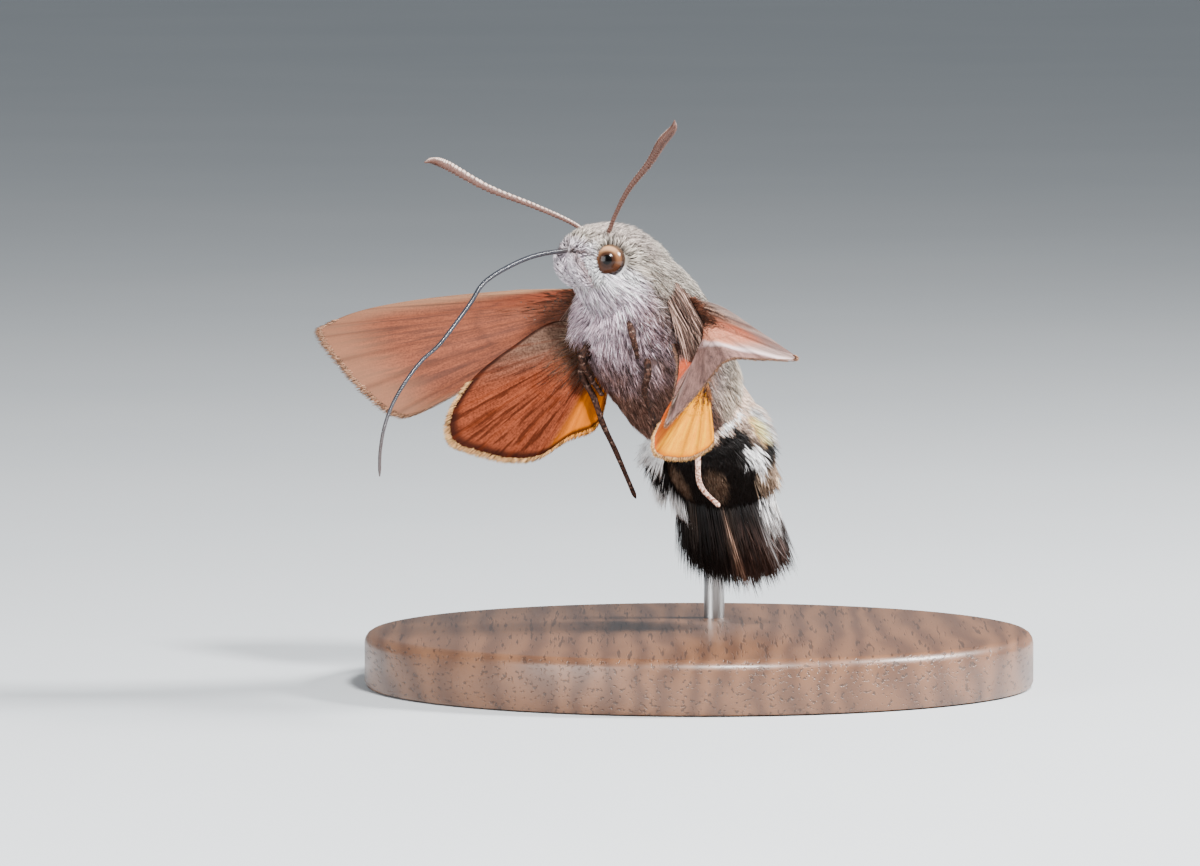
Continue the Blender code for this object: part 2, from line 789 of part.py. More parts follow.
def main():
    """Build the moth and its stand."""
    axes = bpy.data.objects.new("body_axes", None)
    axes.location = metres(THORAX_CENTRE)
    axes.rotation_euler = [math.radians(a) for a in (BODY_LEAN, -BODY_RISE, BODY_TURN)]
    MOTH.objects.link(axes)
    head_axes = bpy.data.objects.new("head_axes", None)
    head_axes.parent = axes
    head_axes.location = metres(HEAD_CENTRE)
    head_axes.rotation_euler = [math.radians(a) for a in HEAD_EULER]
    MOTH.objects.link(head_axes)
    bpy.context.view_layer.update()
    thorax, abdomen, head = build_bodies(axes, head_axes, COAT_LOOK)
    solid_head = bpy.data.objects.new("head_room", head.data.copy())
    CUTTERS.objects.link(solid_head)
    solid_head.matrix_world = head.matrix_world
    solid_head.hide_render = True
    solid_head.display_type = "WIRE"
    build_eyes(head, head_axes, EYE_LOOK)
    build_mouth_and_feelers(head, solid_head, head_axes)
    bpy.data.objects.remove(solid_head, do_unlink=True)
    build_wings(thorax, axes)
    build_legs(thorax, axes)
    build_stand(abdomen)


clear_scene()
MOTH = make_collection("hawk_moth")
CUTTERS = make_collection("cutters")
COAT_LOOK = make_material("coat", (0.42, 0.37, 0.35), 0.85)
FAN_LOOK = make_material("fan", (0.03, 0.025, 0.022), 0.8)
EYE_LOOK = make_material("eye", (0.16, 0.09, 0.04), 0.15)
TONGUE_LOOK = make_material("tongue", (0.2, 0.24, 0.3), 0.4)
FEELER_LOOK = make_material("feeler", (0.2, 0.12, 0.1), 0.6)
FOREWING_LOOK = make_material("forewing", (0.45, 0.2, 0.12), 0.7)
HINDWING_LOOK = make_material("hindwing", (0.6, 0.28, 0.1), 0.7)
LEG_LOOK = make_material("leg", (0.15, 0.08, 0.06), 0.7)
BASE_LOOK = make_material("base", (0.09, 0.05, 0.03), 0.4)
ROD_LOOK = make_material("rod", (0.6, 0.6, 0.6), 0.3, 1.0)
main()
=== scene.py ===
"""Looks of the hummingbird hawk moth on its display stand.

The body has its own axes in millimetres: x forward along the thorax, y to the moth's left and z
towards its back, from the middle of the thorax. A place on the body is given by its girth line,
how far back it lies from the middle of the thorax, and by its angle round the body in degrees:
0 on the back, 90 on the left side, 180 on the belly.
"""
import math
from collections import namedtuple

import bpy
import numpy as np
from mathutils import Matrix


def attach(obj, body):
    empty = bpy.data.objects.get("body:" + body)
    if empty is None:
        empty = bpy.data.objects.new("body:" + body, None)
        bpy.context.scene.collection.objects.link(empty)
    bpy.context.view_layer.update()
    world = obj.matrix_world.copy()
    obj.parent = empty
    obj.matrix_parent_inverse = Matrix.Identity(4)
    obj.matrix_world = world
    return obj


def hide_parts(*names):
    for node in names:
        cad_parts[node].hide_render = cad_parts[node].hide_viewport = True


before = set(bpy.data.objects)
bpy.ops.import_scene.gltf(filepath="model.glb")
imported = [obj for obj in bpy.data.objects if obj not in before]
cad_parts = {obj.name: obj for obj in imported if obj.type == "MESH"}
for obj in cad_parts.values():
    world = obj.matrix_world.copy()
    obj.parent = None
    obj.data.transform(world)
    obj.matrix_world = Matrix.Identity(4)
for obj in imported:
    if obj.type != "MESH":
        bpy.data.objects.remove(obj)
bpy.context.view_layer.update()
MM = 0.001

THORAX_CENTRE = np.array((-3.1, -3.0, 24.7))
BODY_EULER = (-3.0, -42.8, 230.0)
HEAD_CENTRE = np.array((9.2, 0.0, 0.0))
HEAD_EULER = (-8.2, 27.1, -14.9)
ABDOMEN_START = (-7.0, 0.0, -0.15)
ABDOMEN_BEND = 30.0
ABDOMEN_BEND_OVER = 1.8
ABDOMEN_LENGTH = 14.4
ABDOMEN_ROWS = 289
WAIST = -ABDOMEN_START[0]

# Mean radius of the body, which makes an angle round it a length
BODY_RADIUS = 4.2


# Placing

def turned(degrees):
    """The turn about x, then y, then z, as a matrix."""
    a, b, c = (math.radians(value) for value in degrees)
    about_x = np.array([[1, 0, 0], [0, math.cos(a), -math.sin(a)], [0, math.sin(a), math.cos(a)]])
    about_y = np.array([[math.cos(b), 0, math.sin(b)], [0, 1, 0], [-math.sin(b), 0, math.cos(b)]])
    about_z = np.array([[math.cos(c), -math.sin(c), 0], [math.sin(c), math.cos(c), 0], [0, 0, 1]])
    return about_z @ about_y @ about_x


BODY_TURN = turned(BODY_EULER)
HEAD_TURN = turned(HEAD_EULER)


def from_body(places):
    """Places in the body's axes, in millimetres, as world places in metres."""
    return (np.asarray(places, dtype=float) @ BODY_TURN.T + THORAX_CENTRE) * MM


def from_head(places):
    """Places in the head's axes as places in the body's axes."""
    return np.asarray(places, dtype=float) @ HEAD_TURN.T + HEAD_CENTRE


def unit(vectors):
    """Vectors brought to length one."""
    return vectors / np.maximum(np.linalg.norm(vectors, axis=-1, keepdims=True), 1e-12)


def blend(value, low, high):
    """Rises smoothly from 0 at low to 1 at high: 3t^2 - 2t^3 of the share between them."""
    t = np.clip((np.asarray(value, dtype=float) - low) / (high - low), 0.0, 1.0)
    return t * t * (3 - 2 * t)


def bump(value, middle, width):
    """A soft hump: one at the middle, falling with the squared distance over the width."""
    return np.exp(-((np.asarray(value, dtype=float) - middle) / width) ** 2)


WAVE_WEIGHTS = (1.0, 0.8, 0.7, 0.6, 0.5, 0.4)
WAVES_TOGETHER = 2.2


def ripple(places, size, seed):
    """An even unrest between about -1 and 1: a sum of sine waves in random directions."""
    draw = np.random.default_rng(seed)
    total = 0.0
    for weight in WAVE_WEIGHTS:
        way = unit(draw.normal(size=places.shape[-1])) * draw.uniform(0.6, 1.6) / size
        total = total + weight * np.sin(2 * np.pi * (places @ way) + draw.uniform(0, 6.28))
    return total / WAVES_TOGETHER


def rounded(table, places):
    """A curve through a table's rows, first column the knots: cubic pieces that share slopes."""
    table = np.asarray(table, dtype=float)
    knots = table[:, 0]
    values = table[:, 1:]
    slopes = np.gradient(values, knots, axis=0)
    places = np.clip(np.asarray(places, dtype=float), knots[0], knots[-1])
    at = np.clip(np.searchsorted(knots, places, side="right") - 1, 0, len(knots) - 2)
    wide = knots[at + 1] - knots[at]
    t = ((places - knots[at]) / wide)[..., None]
    wide = wide[..., None]
    return ((2 * t**3 - 3 * t**2 + 1) * values[at] + (t**3 - 2 * t**2 + t) * wide * slopes[at]
            + (3 * t**2 - 2 * t**3) * values[at + 1] + (t**3 - t**2) * wide * slopes[at + 1])


def along_line(points, places):
    """Places between 0 and 1 along a rounded line through the points."""
    points = np.asarray(points, dtype=float)
    knots = np.linspace(0, 1, len(points))
    return rounded(np.column_stack([knots, points]), places)


def tint(red, green, blue):
    """A colour as seen, 0 to 255, as the light values that a shader takes."""
    seen = np.array((red, green, blue)) / 255.0
    return np.where(seen <= 0.04045, seen / 12.92, ((seen + 0.055) / 1.055) ** 2.4)


def mixed(first, second, share):
    """Colours between two, by a share for each place."""
    share = np.asarray(share, dtype=float)[..., None]
    return first * (1 - share) + second * share


# Meshes

def make_piece(name, places, faces, look, numbers=None, colours=None, bake=None):
    """An object from arrays: places in metres, faces as rows of three or four corners."""
    mesh = bpy.data.meshes.new(name)
    corners = np.concatenate([rows.ravel() for rows in faces])
    sizes = np.concatenate([np.full(len(rows), rows.shape[1]) for rows in faces])
    starts = np.concatenate([[0], np.cumsum(sizes)[:-1]])
    mesh.vertices.add(len(places))
    mesh.vertices.foreach_set("co", np.ascontiguousarray(places, dtype=np.float32).ravel())
    mesh.loops.add(len(corners))
    mesh.loops.foreach_set("vertex_index", corners.astype(np.int32))
    mesh.polygons.add(len(sizes))
    mesh.polygons.foreach_set("loop_start", starts.astype(np.int32))
    mesh.update(calc_edges=True)
    for key, values in (numbers or {}).items():
        layer = mesh.attributes.new(key, "FLOAT", "POINT")
        layer.data.foreach_set("value", np.ascontiguousarray(values, dtype=np.float32).ravel())
    if colours is not None:
        layer = mesh.attributes.new("coat_colour", "FLOAT_COLOR", "POINT")
        whole = np.ones((len(places), 4), dtype=np.float32)
        whole[:, :3] = colours
        layer.data.foreach_set("color", whole.ravel())
    if bake is not None:
        layer = mesh.uv_layers.new(name="OFBake")
        layer.data.foreach_set("uv", np.ascontiguousarray(bake[corners], dtype=np.float32).ravel())
    mesh.shade_smooth()
    mesh.materials.append(look)
    piece = bpy.data.objects.new(name, mesh)
    bpy.context.scene.collection.objects.link(piece)
    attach(piece, "root")
    return piece


def closed_rings(rings):
    """A closed surface from rings of points, rows by around, with a point in each end.

    Returns the places, the faces with four corners and the faces with three."""
    rows, around = rings.shape[:2]
    places = np.concatenate([rings.reshape(-1, 3), rings[0].mean(0)[None], rings[-1].mean(0)[None]])
    at = np.arange(rows * around).reshape(rows, around)
    after = np.roll(at, -1, axis=1)
    quads = np.stack([at[:-1], after[:-1], after[1:], at[1:]], -1).reshape(-1, 4)
    first = np.stack([after[0], at[0], np.full(around, rows * around)], -1)
    last = np.stack([at[-1], after[-1], np.full(around, rows * around + 1)], -1)
    threes = np.concatenate([first, last])
    return outward(places, quads, threes)


def closed_sheet(top, low):
    """A thin closed sheet from its two faces, each rows by columns, joined round the rim."""
    rows, wide = top.shape[:2]
    places = np.concatenate([top.reshape(-1, 3), low.reshape(-1, 3)])
    at = np.arange(rows * wide).reshape(rows, wide)
    under = at + rows * wide
    face = np.stack([at[:-1, :-1], at[1:, :-1], at[1:, 1:], at[:-1, 1:]], -1).reshape(-1, 4)
    rim = np.concatenate([at[0, :-1], at[:-1, -1], at[-1, :0:-1], at[:0:-1, 0]])
    low_rim = rim + rows * wide
    edge = np.stack([rim, np.roll(rim, -1), np.roll(low_rim, -1), low_rim], -1)
    quads = np.concatenate([face, under.reshape(-1)[face[:, ::-1]], edge])
    a, b, c, d = (places[quads[:, k]] for k in range(4))
    if np.einsum("ij,ij->", a + c - 2 * places.mean(0), np.cross(c - a, d - b)) < 0:
        quads = quads[:, ::-1]
    return places, quads


def outward(places, quads, threes):
    """The same faces, turned round if the closed surface that they make is inside out."""
    flat = np.concatenate([quads[:, :3], quads[:, [0, 2, 3]], threes])
    a, b, c = (places[flat[:, k]] for k in range(3))
    middle = places.mean(0)
    if np.einsum("ij,ij->", a - middle, np.cross(b - middle, c - middle)) < 0:
        return places, quads[:, ::-1], threes[:, ::-1]
    return places, quads, threes


def with_ends(colours):
    """Colours given for rings of points, with the two end points' colours added."""
    return np.concatenate([colours.reshape(-1, 3), colours[0].mean(0)[None],
                           colours[-1].mean(0)[None]])


def on_rings(values, rings):
    """Numbers, one for each ring or each point, for the rings' points and their two ends."""
    values = np.broadcast_to(values, rings.shape[:2])
    return np.concatenate([values.ravel(), [values[0].mean(), values[-1].mean()]])


def circle(around):
    """So many angles of a full turn."""
    return np.arange(around) / around * 2 * np.pi


def carried(line, radii, around, up=(0.0, 0.0, 1.0)):
    """A round profile carried along a line: centre + radius (side cos v + up sin v).

    radii is one number per row, or one per row and place around it."""
    forward = unit(np.gradient(line, axis=0))
    side = unit(np.cross(forward, np.asarray(up)))
    above = np.cross(side, forward)
    v = circle(around)
    radii = radii[:, None] if radii.ndim == 1 else radii
    return (line[:, None] + side[:, None] * (radii * np.cos(v))[..., None]
            + above[:, None] * (radii * np.sin(v))[..., None])


# Shader maths

class Number:
    """A number that changes over a surface. Its arithmetic adds Math nodes to the look."""

    def __init__(self, look, socket):
        self.look = look
        self.socket = socket

    def maths(self, operation, *values):
        """One Math node."""
        return Number(self.look, self.look.node("Math", {"operation": operation}, values)[0])

    def __add__(self, other):
        return self.maths("ADD", self, other)

    def __radd__(self, other):
        return self.maths("ADD", other, self)

    def __sub__(self, other):
        return self.maths("SUBTRACT", self, other)

    def __rsub__(self, other):
        return self.maths("SUBTRACT", other, self)

    def __mul__(self, other):
        return self.maths("MULTIPLY", self, other)

    def __rmul__(self, other):
        return self.maths("MULTIPLY", other, self)

    def __abs__(self):
        return self.maths("ABSOLUTE", self)

    def sine(self):
        """The sine of the number as an angle in radians."""
        return self.maths("SINE", self)

    def least(self, other):
        """The smaller of two."""
        return self.maths("MINIMUM", self, other)

    def most(self, other):
        """The larger of two."""
        return self.maths("MAXIMUM", self, other)

    def rise(self, low, high):
        """Goes smoothly from 0 at low to 1 at high, or from 1 to 0 where low is above high."""
        if low > high:
            return 1.0 - self.rise(high, low)
        settings = {"interpolation_type": "SMOOTHSTEP"}
        values = {"Value": self, "From Min": low, "From Max": high}
        return Number(self.look, self.look.node("MapRange", settings, values)[0])

    def hump(self, middle, width):
        """One at the middle and 0 at a distance of width from it."""
        return abs(self - middle).rise(width, 0.0)


class Look:
    """A material and the means to write it: numbers, colours and one shader."""

    def __init__(self, name, roughness, **constants):
        self.material = bpy.data.materials.new(name)
        self.material.use_nodes = True
        self.tree = self.material.node_tree
        self.shader = self.tree.nodes["Principled BSDF"]
        self.shader.inputs["Roughness"].default_value = roughness
        for socket, value in constants.items():
            self.shader.inputs[socket.replace("_", " ")].default_value = value

    def node(self, kind, settings=None, inputs=()):
        """Adds a node: its settings first, then values or links by place or by socket name."""
        node = self.tree.nodes.new("ShaderNode" + kind)
        for key, value in (settings or {}).items():
            setattr(node, key, value)
        pairs = inputs.items() if isinstance(inputs, dict) else enumerate(inputs)
        for key, value in pairs:
            if isinstance(value, Number):
                value = value.socket
            if isinstance(value, bpy.types.NodeSocket):
                self.tree.links.new(value, node.inputs[key])
            else:
                node.inputs[key].default_value = value
        return node.outputs

    def number(self, name):
        """A number that the piece carries on its points."""
        return Number(self, self.node("Attribute", {"attribute_name": name})["Fac"])

    def markings(self):
        """The colour that a furred piece carries on its points."""
        return self.node("Attribute", {"attribute_name": "coat_colour"})["Color"]

    def place(self):
        """Where the point is, in metres."""
        return self.node("TexCoord")["Object"]

    def vector(self, x, y, z):
        """A place from three numbers."""
        return self.node("CombineXYZ", None, (x, y, z))[0]

    def noise(self, at, scale, detail=3.0, roughness=0.5):
        """Cloudy noise from 0 to 1."""
        values = {"Vector": at, "Scale": scale, "Detail": detail, "Roughness": roughness}
        return Number(self, self.node("TexNoise", None, values)["Fac"])

    def stretched(self, at, scale):
        """Places scaled along x, y and z, which draws a pattern out."""
        return self.node("Mapping", None, {"Vector": at, "Scale": scale})[0]

    def cells(self, at, scale):
        """How far a place is from the middle of its cell."""
        return Number(self, self.node("TexVoronoi", None, {"Vector": at, "Scale": scale})["Distance"])

    def mix(self, first, second, share):
        """Between two colours, which are the Mix node's sockets 6 and 7."""
        first, second = (value if isinstance(value, bpy.types.NodeSocket) else (*value, 1.0)
                         for value in (first, second))
        return self.node("Mix", {"data_type": "RGBA"}, {0: share, 6: first, 7: second})[2]

    def scaled(self, colour, amount):
        """A colour made lighter or darker."""
        values = {"Vector": colour, "Scale": amount}
        return self.node("VectorMath", {"operation": "SCALE"}, values)[0]

    def paint(self, colour, roughness=None, painted_glow=None):
        """Gives the shader its colour and, where they change over the surface, the rest."""
        self.tree.links.new(colour, self.shader.inputs["Base Color"])
        if roughness is not None:
            self.tree.links.new(roughness.socket, self.shader.inputs["Roughness"])
        if painted_glow is not None:
            self.tree.links.new(painted_glow, self.shader.inputs["Emission Color"])

    def relief(self, height, distance):
        """Raised by the height, in millimetres at height one."""
        values = {"Height": height, "Distance": distance * MM, "Strength": 1.0}
        normal = self.node("Bump", None, values)["Normal"]
        self.tree.links.new(normal, self.shader.inputs["Normal"])


def coat_look(name, roughness=0.6):
    """Fur: the piece's own markings, broken by fine streaks."""
    look = Look(name, roughness, Specular_IOR_Level=0.2)
    grain = look.noise(look.place(), 3200.0, 2.0)
    look.paint(look.scaled(look.markings(), 0.78 + grain * 0.44))
    look.relief(grain, 0.03)
    return look.material


# The body's form, along its girth line

def abdomen_line():
    """Middle and bend of the abdomen at many distances from its front, as a table."""
    far = np.linspace(0, ABDOMEN_LENGTH, ABDOMEN_ROWS)
    bend = np.radians(ABDOMEN_BEND) * (1 - np.exp(-(far / ABDOMEN_BEND_OVER) ** 1.6))
    step = far[1] - far[0]
    middle = (bend[1:] + bend[:-1]) / 2
    x = ABDOMEN_START[0] - np.concatenate([[0], np.cumsum(np.cos(middle) * step)])
    z = ABDOMEN_START[2] - np.concatenate([[0], np.cumsum(np.sin(middle) * step)])
    return np.column_stack([far, x, z, bend])


ABDOMEN_TABLE = abdomen_line()

# Girths of the skin: along its own part, half width, back and belly, less the coat's depth
HEAD_GIRTHS = [
    (2.62, 0.35, 0.4, 0.2),
    (2.3, 0.95, 1.0, 0.5),
    (1.7, 1.5, 1.6, 0.95),
    (0.9, 2.0, 2.05, 1.5),
    (0.0, 2.3, 2.4, 2.1),
    (-1.1, 2.55, 2.6, 2.75),
]
THORAX_GIRTHS = [
    (4.6, 4.0, 4.35, 3.8),
    (2.8, 4.3, 4.6, 4.2),
    (0.8, 4.4, 4.6, 4.5),
    (-1.4, 4.25, 4.4, 4.6),
    (-3.4, 4.0, 4.05, 4.65),
    (-5.0, 3.7, 3.65, 4.35),
    (-6.4, 3.3, 3.1, 3.65),
]
ABDOMEN_GIRTHS = [
    (0.6, 3.5, 3.0, 3.3),
    (2.2, 4.1, 2.95, 3.1),
    (3.5, 4.4, 2.75, 2.9),
    (4.7, 4.45, 2.5, 2.6),
    (5.9, 4.2, 2.1, 2.2),
    (6.9, 3.7, 1.8, 1.85),
    (8.2, 3.5, 1.4, 1.4),
    (9.2, 3.6, 1.0, 1.0),
    (10.2, 3.6, 0.6, 0.6),
    (10.6, 2.8, 0.35, 0.35),
]


# The abdomen's end swings a little to the left: how far, where, and over what length
SWING, SWING_PLACE, SWING_OVER = 0.5, 8.5, 1.6


def body_table():
    """All girths in one table: girth line, middle, across, up and the three sizes."""
    rows = []
    for along, *sizes in HEAD_GIRTHS:
        middle = from_head((along, 0, 0))
        rows.append([-(HEAD_CENTRE[0] + along), *middle, *HEAD_TURN[:, 1], *HEAD_TURN[:, 2],
                     *sizes])
    for along, *sizes in THORAX_GIRTHS:
        rows.append([-along, along, 0, 0, 0, 1, 0, 0, 0, 1, *sizes])
    for along, *sizes in ABDOMEN_GIRTHS:
        x, z, bend = rounded(ABDOMEN_TABLE, [along])[0]
        y = SWING * bump(along, SWING_PLACE, SWING_OVER)
        rows.append([WAIST + along, x, y, z, 0, 1, 0, -math.sin(bend), 0, math.cos(bend), *sizes])
    return np.array(rows)


BODY_TABLE = body_table()
SNOUT = BODY_TABLE[0, 0]
TAIL = BODY_TABLE[-1, 0]


def body_place(girth, angle, lift=0.0):
    """A place on the skin: middle + across w sin a + up h cos a, h being back or belly.

    lift moves it off the skin, in millimetres."""
    row = rounded(BODY_TABLE, girth)
    middle, across, up = row[..., 0:3], unit(row[..., 3:6]), unit(row[..., 6:9])
    turn = np.radians(angle)
    share = blend(np.cos(turn), -0.25, 0.25)
    width = row[..., 9] + lift
    height = row[..., 10] * share + row[..., 11] * (1 - share) + lift
    return (middle + across * (width * np.sin(turn))[..., None]
            + up * (height * np.cos(turn))[..., None])


def body_frame(girth, angle):
    """Place, backward, sideways and outward directions on the skin."""
    here = body_place(girth, angle)
    back = unit(body_place(girth + 0.05, angle) - body_place(girth - 0.05, angle))
    side = unit(body_place(girth, angle + 1.0) - body_place(girth, angle - 1.0))
    out = unit(np.cross(side, back))
    row = rounded(BODY_TABLE, girth)
    facing = np.einsum("...k,...k->...", out, here - row[..., 0:3])
    out = out * np.where(facing < 0, -1.0, 1.0)[..., None]
    return here, back, side, out


# The left eye in the head's axes
EYE_PLACE = np.array((0.05, 1.72, 0.15))
EYE_RADIUS = 1.1625


def from_eye(places):
    """How far places in the body's axes are from the axis of the eye on their side, the direction
    away from it, and the places in the head's axes."""
    local = (places - HEAD_CENTRE) @ HEAD_TURN
    side = np.where(local[..., 1] < 0, -1.0, 1.0)
    middle = EYE_PLACE * np.stack([np.ones_like(side), side, np.ones_like(side)], -1)
    away = local - middle
    away[..., 1] = 0
    return np.linalg.norm(away, axis=-1), unit(away) @ HEAD_TURN.T, local


# Markings

SILVER = tint(170, 160, 148)
CROWN = tint(144, 130, 124)
BACK_BROWN = tint(142, 124, 108)
CHEST = tint(206, 180, 190)
CHEST_LOW = tint(126, 94, 82)
FLANK = tint(158, 134, 132)
DARK_LINE = tint(60, 38, 32)
WHITE = tint(250, 248, 248)
CREAM = tint(255, 206, 142)
BUFF = tint(222, 188, 156)
BLACK = tint(15, 11, 10)
FAN_BLACK = tint(18, 13, 12)
# Brown of a painted sheen on the tips of the tail fan
FAN_SHEEN_BROWN = tint(66, 48, 42)
BELLY_BROWN = tint(112, 92, 76)
GREY_BROWN = tint(214, 184, 165)


def head_colour(shown, places, girth):
    """White round the lower eye, a dark line from the tongue to it, a darker crown."""
    away, _, local = from_eye(places)
    on_head = blend(girth, -6.4, -7.4)
    crown = blend(local[..., 2], 0.7, 1.6) * blend(local[..., 0], 2.2, 1.0)
    shown = mixed(shown, CROWN, 0.6 * crown * on_head)
    low = blend(local[..., 2] - 0.3 * local[..., 0], 0.45, -0.25)
    shown = mixed(shown, tint(226, 212, 224), 0.8 * blend(away, 3.6, 1.9) * low * on_head)
    shown = mixed(shown, WHITE, 0.95 * blend(away, 2.1, 1.45) * low * on_head)
    line = bump(local[..., 2] - 0.42 + 0.12 * local[..., 0], 0.0, 0.13)
    line = line * blend(local[..., 0], 1.15, 1.45) * blend(np.abs(local[..., 1]), 0.15, 0.4)
    shown = mixed(shown, DARK_LINE, 0.9 * line * on_head)
    seam = bump(local[..., 1], 0.0, 0.1) * blend(local[..., 0], 1.3, 1.8) * blend(local[..., 2], 0.2, 0.5)
    return mixed(shown, DARK_LINE, 0.7 * seam * on_head)


def front_colour(girth, angle, unrest, fine):
    """Silver-brown back, darker flanks, and a pale mauve chest that darkens tailward."""
    a = angle + 7 * unrest
    low = blend(girth + 0.9 * unrest + 0.018 * (a - 140), -4.6, 0.9)
    chest = mixed(CHEST, CHEST_LOW, low)
    shown = mixed(SILVER, chest, blend(a, 88, 116))
    shown = mixed(shown, FLANK, 0.6 * bump(a, 94, 13) * blend(girth, -6.6, -4.6))
    shown = mixed(shown, BACK_BROWN, 0.4 * blend(girth, -3.5, 2.5) * blend(a, 100, 60))
    shown = mixed(shown, tint(206, 188, 168), 0.75 * blend(girth, 2.6, 5.4) * blend(a, 118, 96))
    edge = bump(angle - (99 - 7.4 * (girth + 7.15)), 0.0, 2.6) * bump(girth, -6.0, 1.5)
    shown = mixed(shown, DARK_LINE, 0.85 * edge)
    streaks = blend(fine, 0.1, 0.8) * blend(a, 84, 104) * blend(girth, -5.8, -3.6)
    shown = mixed(shown, CHEST_LOW * 0.35, 0.72 * streaks)
    return mixed(shown, tint(84, 64, 54), 0.35 * blend(fine, 0.5, 1.2) * blend(a, 84, 60))


def abdomen_colour(girth, angle, unrest, fine):
    """Bands and patches by the distance d along the abdomen and the angle a round it."""
    d, a = girth - WAIST, angle
    shown = mixed(GREY_BROWN, tint(134, 112, 96), blend(d, 1.0, 3.0))
    shown = mixed(shown, tint(80, 64, 54), blend(d, 3.0, 6.0))
    shown = mixed(shown, BLACK, blend(d, 6.0, 7.6))
    rows = bump((d + 0.35) % 1.75, 0.9, 0.4)
    shown = mixed(shown, BLACK, 0.8 * rows * bump(a, 20, 11) * blend(d, 0.8, 2.0))
    shown = mixed(shown, BLACK, blend(a + 4 * unrest, 92, 103) * blend(d + 0.3 * fine, 0.35, 0.75))
    shown = mixed(shown, BLACK, 0.75 * blend(fine, 0.1, 0.9) * blend(a, 84, 96) * blend(d, 0.2, 0.6))
    shown = mixed(shown, BELLY_BROWN, 0.85 * blend(bump(d, 5.0, 1.5) * bump(a, 157, 13), 0.2, 0.7))
    cream = blend(bump(d + 0.15 * fine, 1.8, 1.3) * bump(a + 2 * fine, 76, 15), 0.3, 0.5)
    shown = mixed(shown, mixed(CREAM, WHITE, 0.9 * blend(a + 5 * fine, 78, 68)), cream)
    shown = mixed(shown, BLACK, blend(bump(d, 3.5, 0.9) * bump(a, 83, 15), 0.3, 0.5))
    shown = mixed(shown, BUFF, blend(bump(d, 6.1, 0.7) * bump(a, 78, 6.5), 0.35, 0.65))
    slant = a - (112 - 6.0 * (d - 2.7))
    patch = bump(slant, 1.5 * fine, 9.0) * bump(d + 0.12 * fine, 3.7, 1.35)
    shown = mixed(shown, WHITE, blend(patch, 0.35, 0.5))
    width = 0.13 + 0.3 * blend(a, 104, 116)
    crescent = bump(d - 0.14 - 0.0045 * (100 - a) ** 2 / 30, 0.05 * fine, width)
    shown = mixed(shown, WHITE, blend(crescent * bump(a, 102, 24), 0.35, 0.55))
    side = bump(d, 8.9, 1.5) * bump(a, 82, 14)
    return mixed(shown, WHITE, 0.92 * blend(side, 0.4, 0.7))


def coat_colour(girth, angle):
    """The coat's colour at each place: pale fur in front, bands and patches on the abdomen."""
    angle = np.abs((np.asarray(angle) + 180.0) % 360.0 - 180.0)
    girth = np.asarray(girth, dtype=float)
    places = body_place(girth, angle)
    unrest = ripple(places, 2.4, 11)
    across = np.radians(angle) * BODY_RADIUS
    fine = ripple(np.stack([girth * 0.25, across, girth * 0.0], -1), 0.5, 12)
    shown = front_colour(girth, angle, unrest, fine)
    shown = head_colour(shown, places, girth)
    return mixed(shown, abdomen_colour(girth, angle, unrest, fine), blend(girth, 6.35, 6.65))


# Skin

GIRTH_ROWS = 260
SKIN_AROUND = 96
SKIN_UNREST = 0.05
# How dark the skin is against the coat: painted shade where the skin shows between the hairs
SKIN_SHADE = 0.5


def skin_unwrap(girth, angle):
    """The skin's own unwrap: along the body and round it, both from 0 to 1."""
    u = (np.asarray(girth) - SNOUT) / (TAIL - SNOUT)
    v = (np.asarray(angle) / 360.0) % 1.0
    return np.stack([0.02 + 0.96 * u, 0.02 + 0.96 * v], -1)


def build_skin(look):
    """One skin from the face to the end of the abdomen: the girth table, a little uneven, coloured as the
    coat darkened into painted shade.
    """
    girth = np.linspace(SNOUT, TAIL, GIRTH_ROWS)[:, None]
    angle = (np.arange(SKIN_AROUND) / SKIN_AROUND * 360.0)[None]
    girth, angle = np.broadcast_arrays(girth, angle)
    unrest = SKIN_UNREST * ripple(body_place(girth, angle), 1.3, 3)
    # Painted shade: the skin takes the coat's colours, darkened
    colours = with_ends(coat_colour(girth, angle) * SKIN_SHADE)
    points, quads, threes = closed_rings(body_place(girth, angle, unrest))
    return make_piece("moth_skin", from_body(points), (quads, threes), look, colours=colours)


# Places of the legs

# The solid chest: along, half width, half depth
THORAX_SIZES = [(-6.7, 3.45, 3.8), (-6.1, 3.75, 4.35), (-5.0, 4.05, 4.8), (-3.4, 4.35, 5.05),
                (-1.4, 4.6, 5.0), (0.8, 4.75, 4.85), (2.8, 4.65, 4.6), (4.6, 4.35, 4.15),
                (5.9, 3.9, 3.5), (6.6, 3.35, 2.9)]

# Each leg: places on the chest as along, angle from the belly line and lift, then places beyond
LEGS = {
    "foreleg_left": ([(6.0, 44.0, -1.0), (5.4, 43.0, 0.65), (4.5, 40.0, 0.6), (3.6, 37.0, 0.6)], []),
    "foreleg_right": ([(4.8, -14.0, -1.0), (4.0, -18.0, 0.65), (2.0, -20.0, 0.6),
                       (0.4, -16.0, 0.6)], []),
    "midleg_left": ([(2.9, 44.0, -1.0), (2.2, 38.0, 0.65), (0.9, 28.0, 0.65), (-1.8, 22.0, 0.65),
                     (-3.3, 17.0, 0.7)], []),
    "midleg_right": ([(3.6, -26.0, -1.0), (2.4, -30.0, 0.7)],
                     [(0.4, -2.2, -5.5), (-1.7, -2.1, -6.3), (-4.4, -2.4, -6.6),
                      (-8.7, -2.7, -7.4)]),
    "hindleg_left": ([(-4.6, 38.0, -1.0), (-5.4, 34.0, 0.7), (-6.6, 32.0, 1.0)],
                     [(-8.0, 3.0, -6.0), (-9.2, 4.7, -6.9)]),
    "hindleg_right": ([(-2.6, -62.0, -1.0), (-3.4, -64.0, 0.7), (-4.8, -66.0, 0.75),
                       (-5.9, -68.0, 0.75)], []),
}


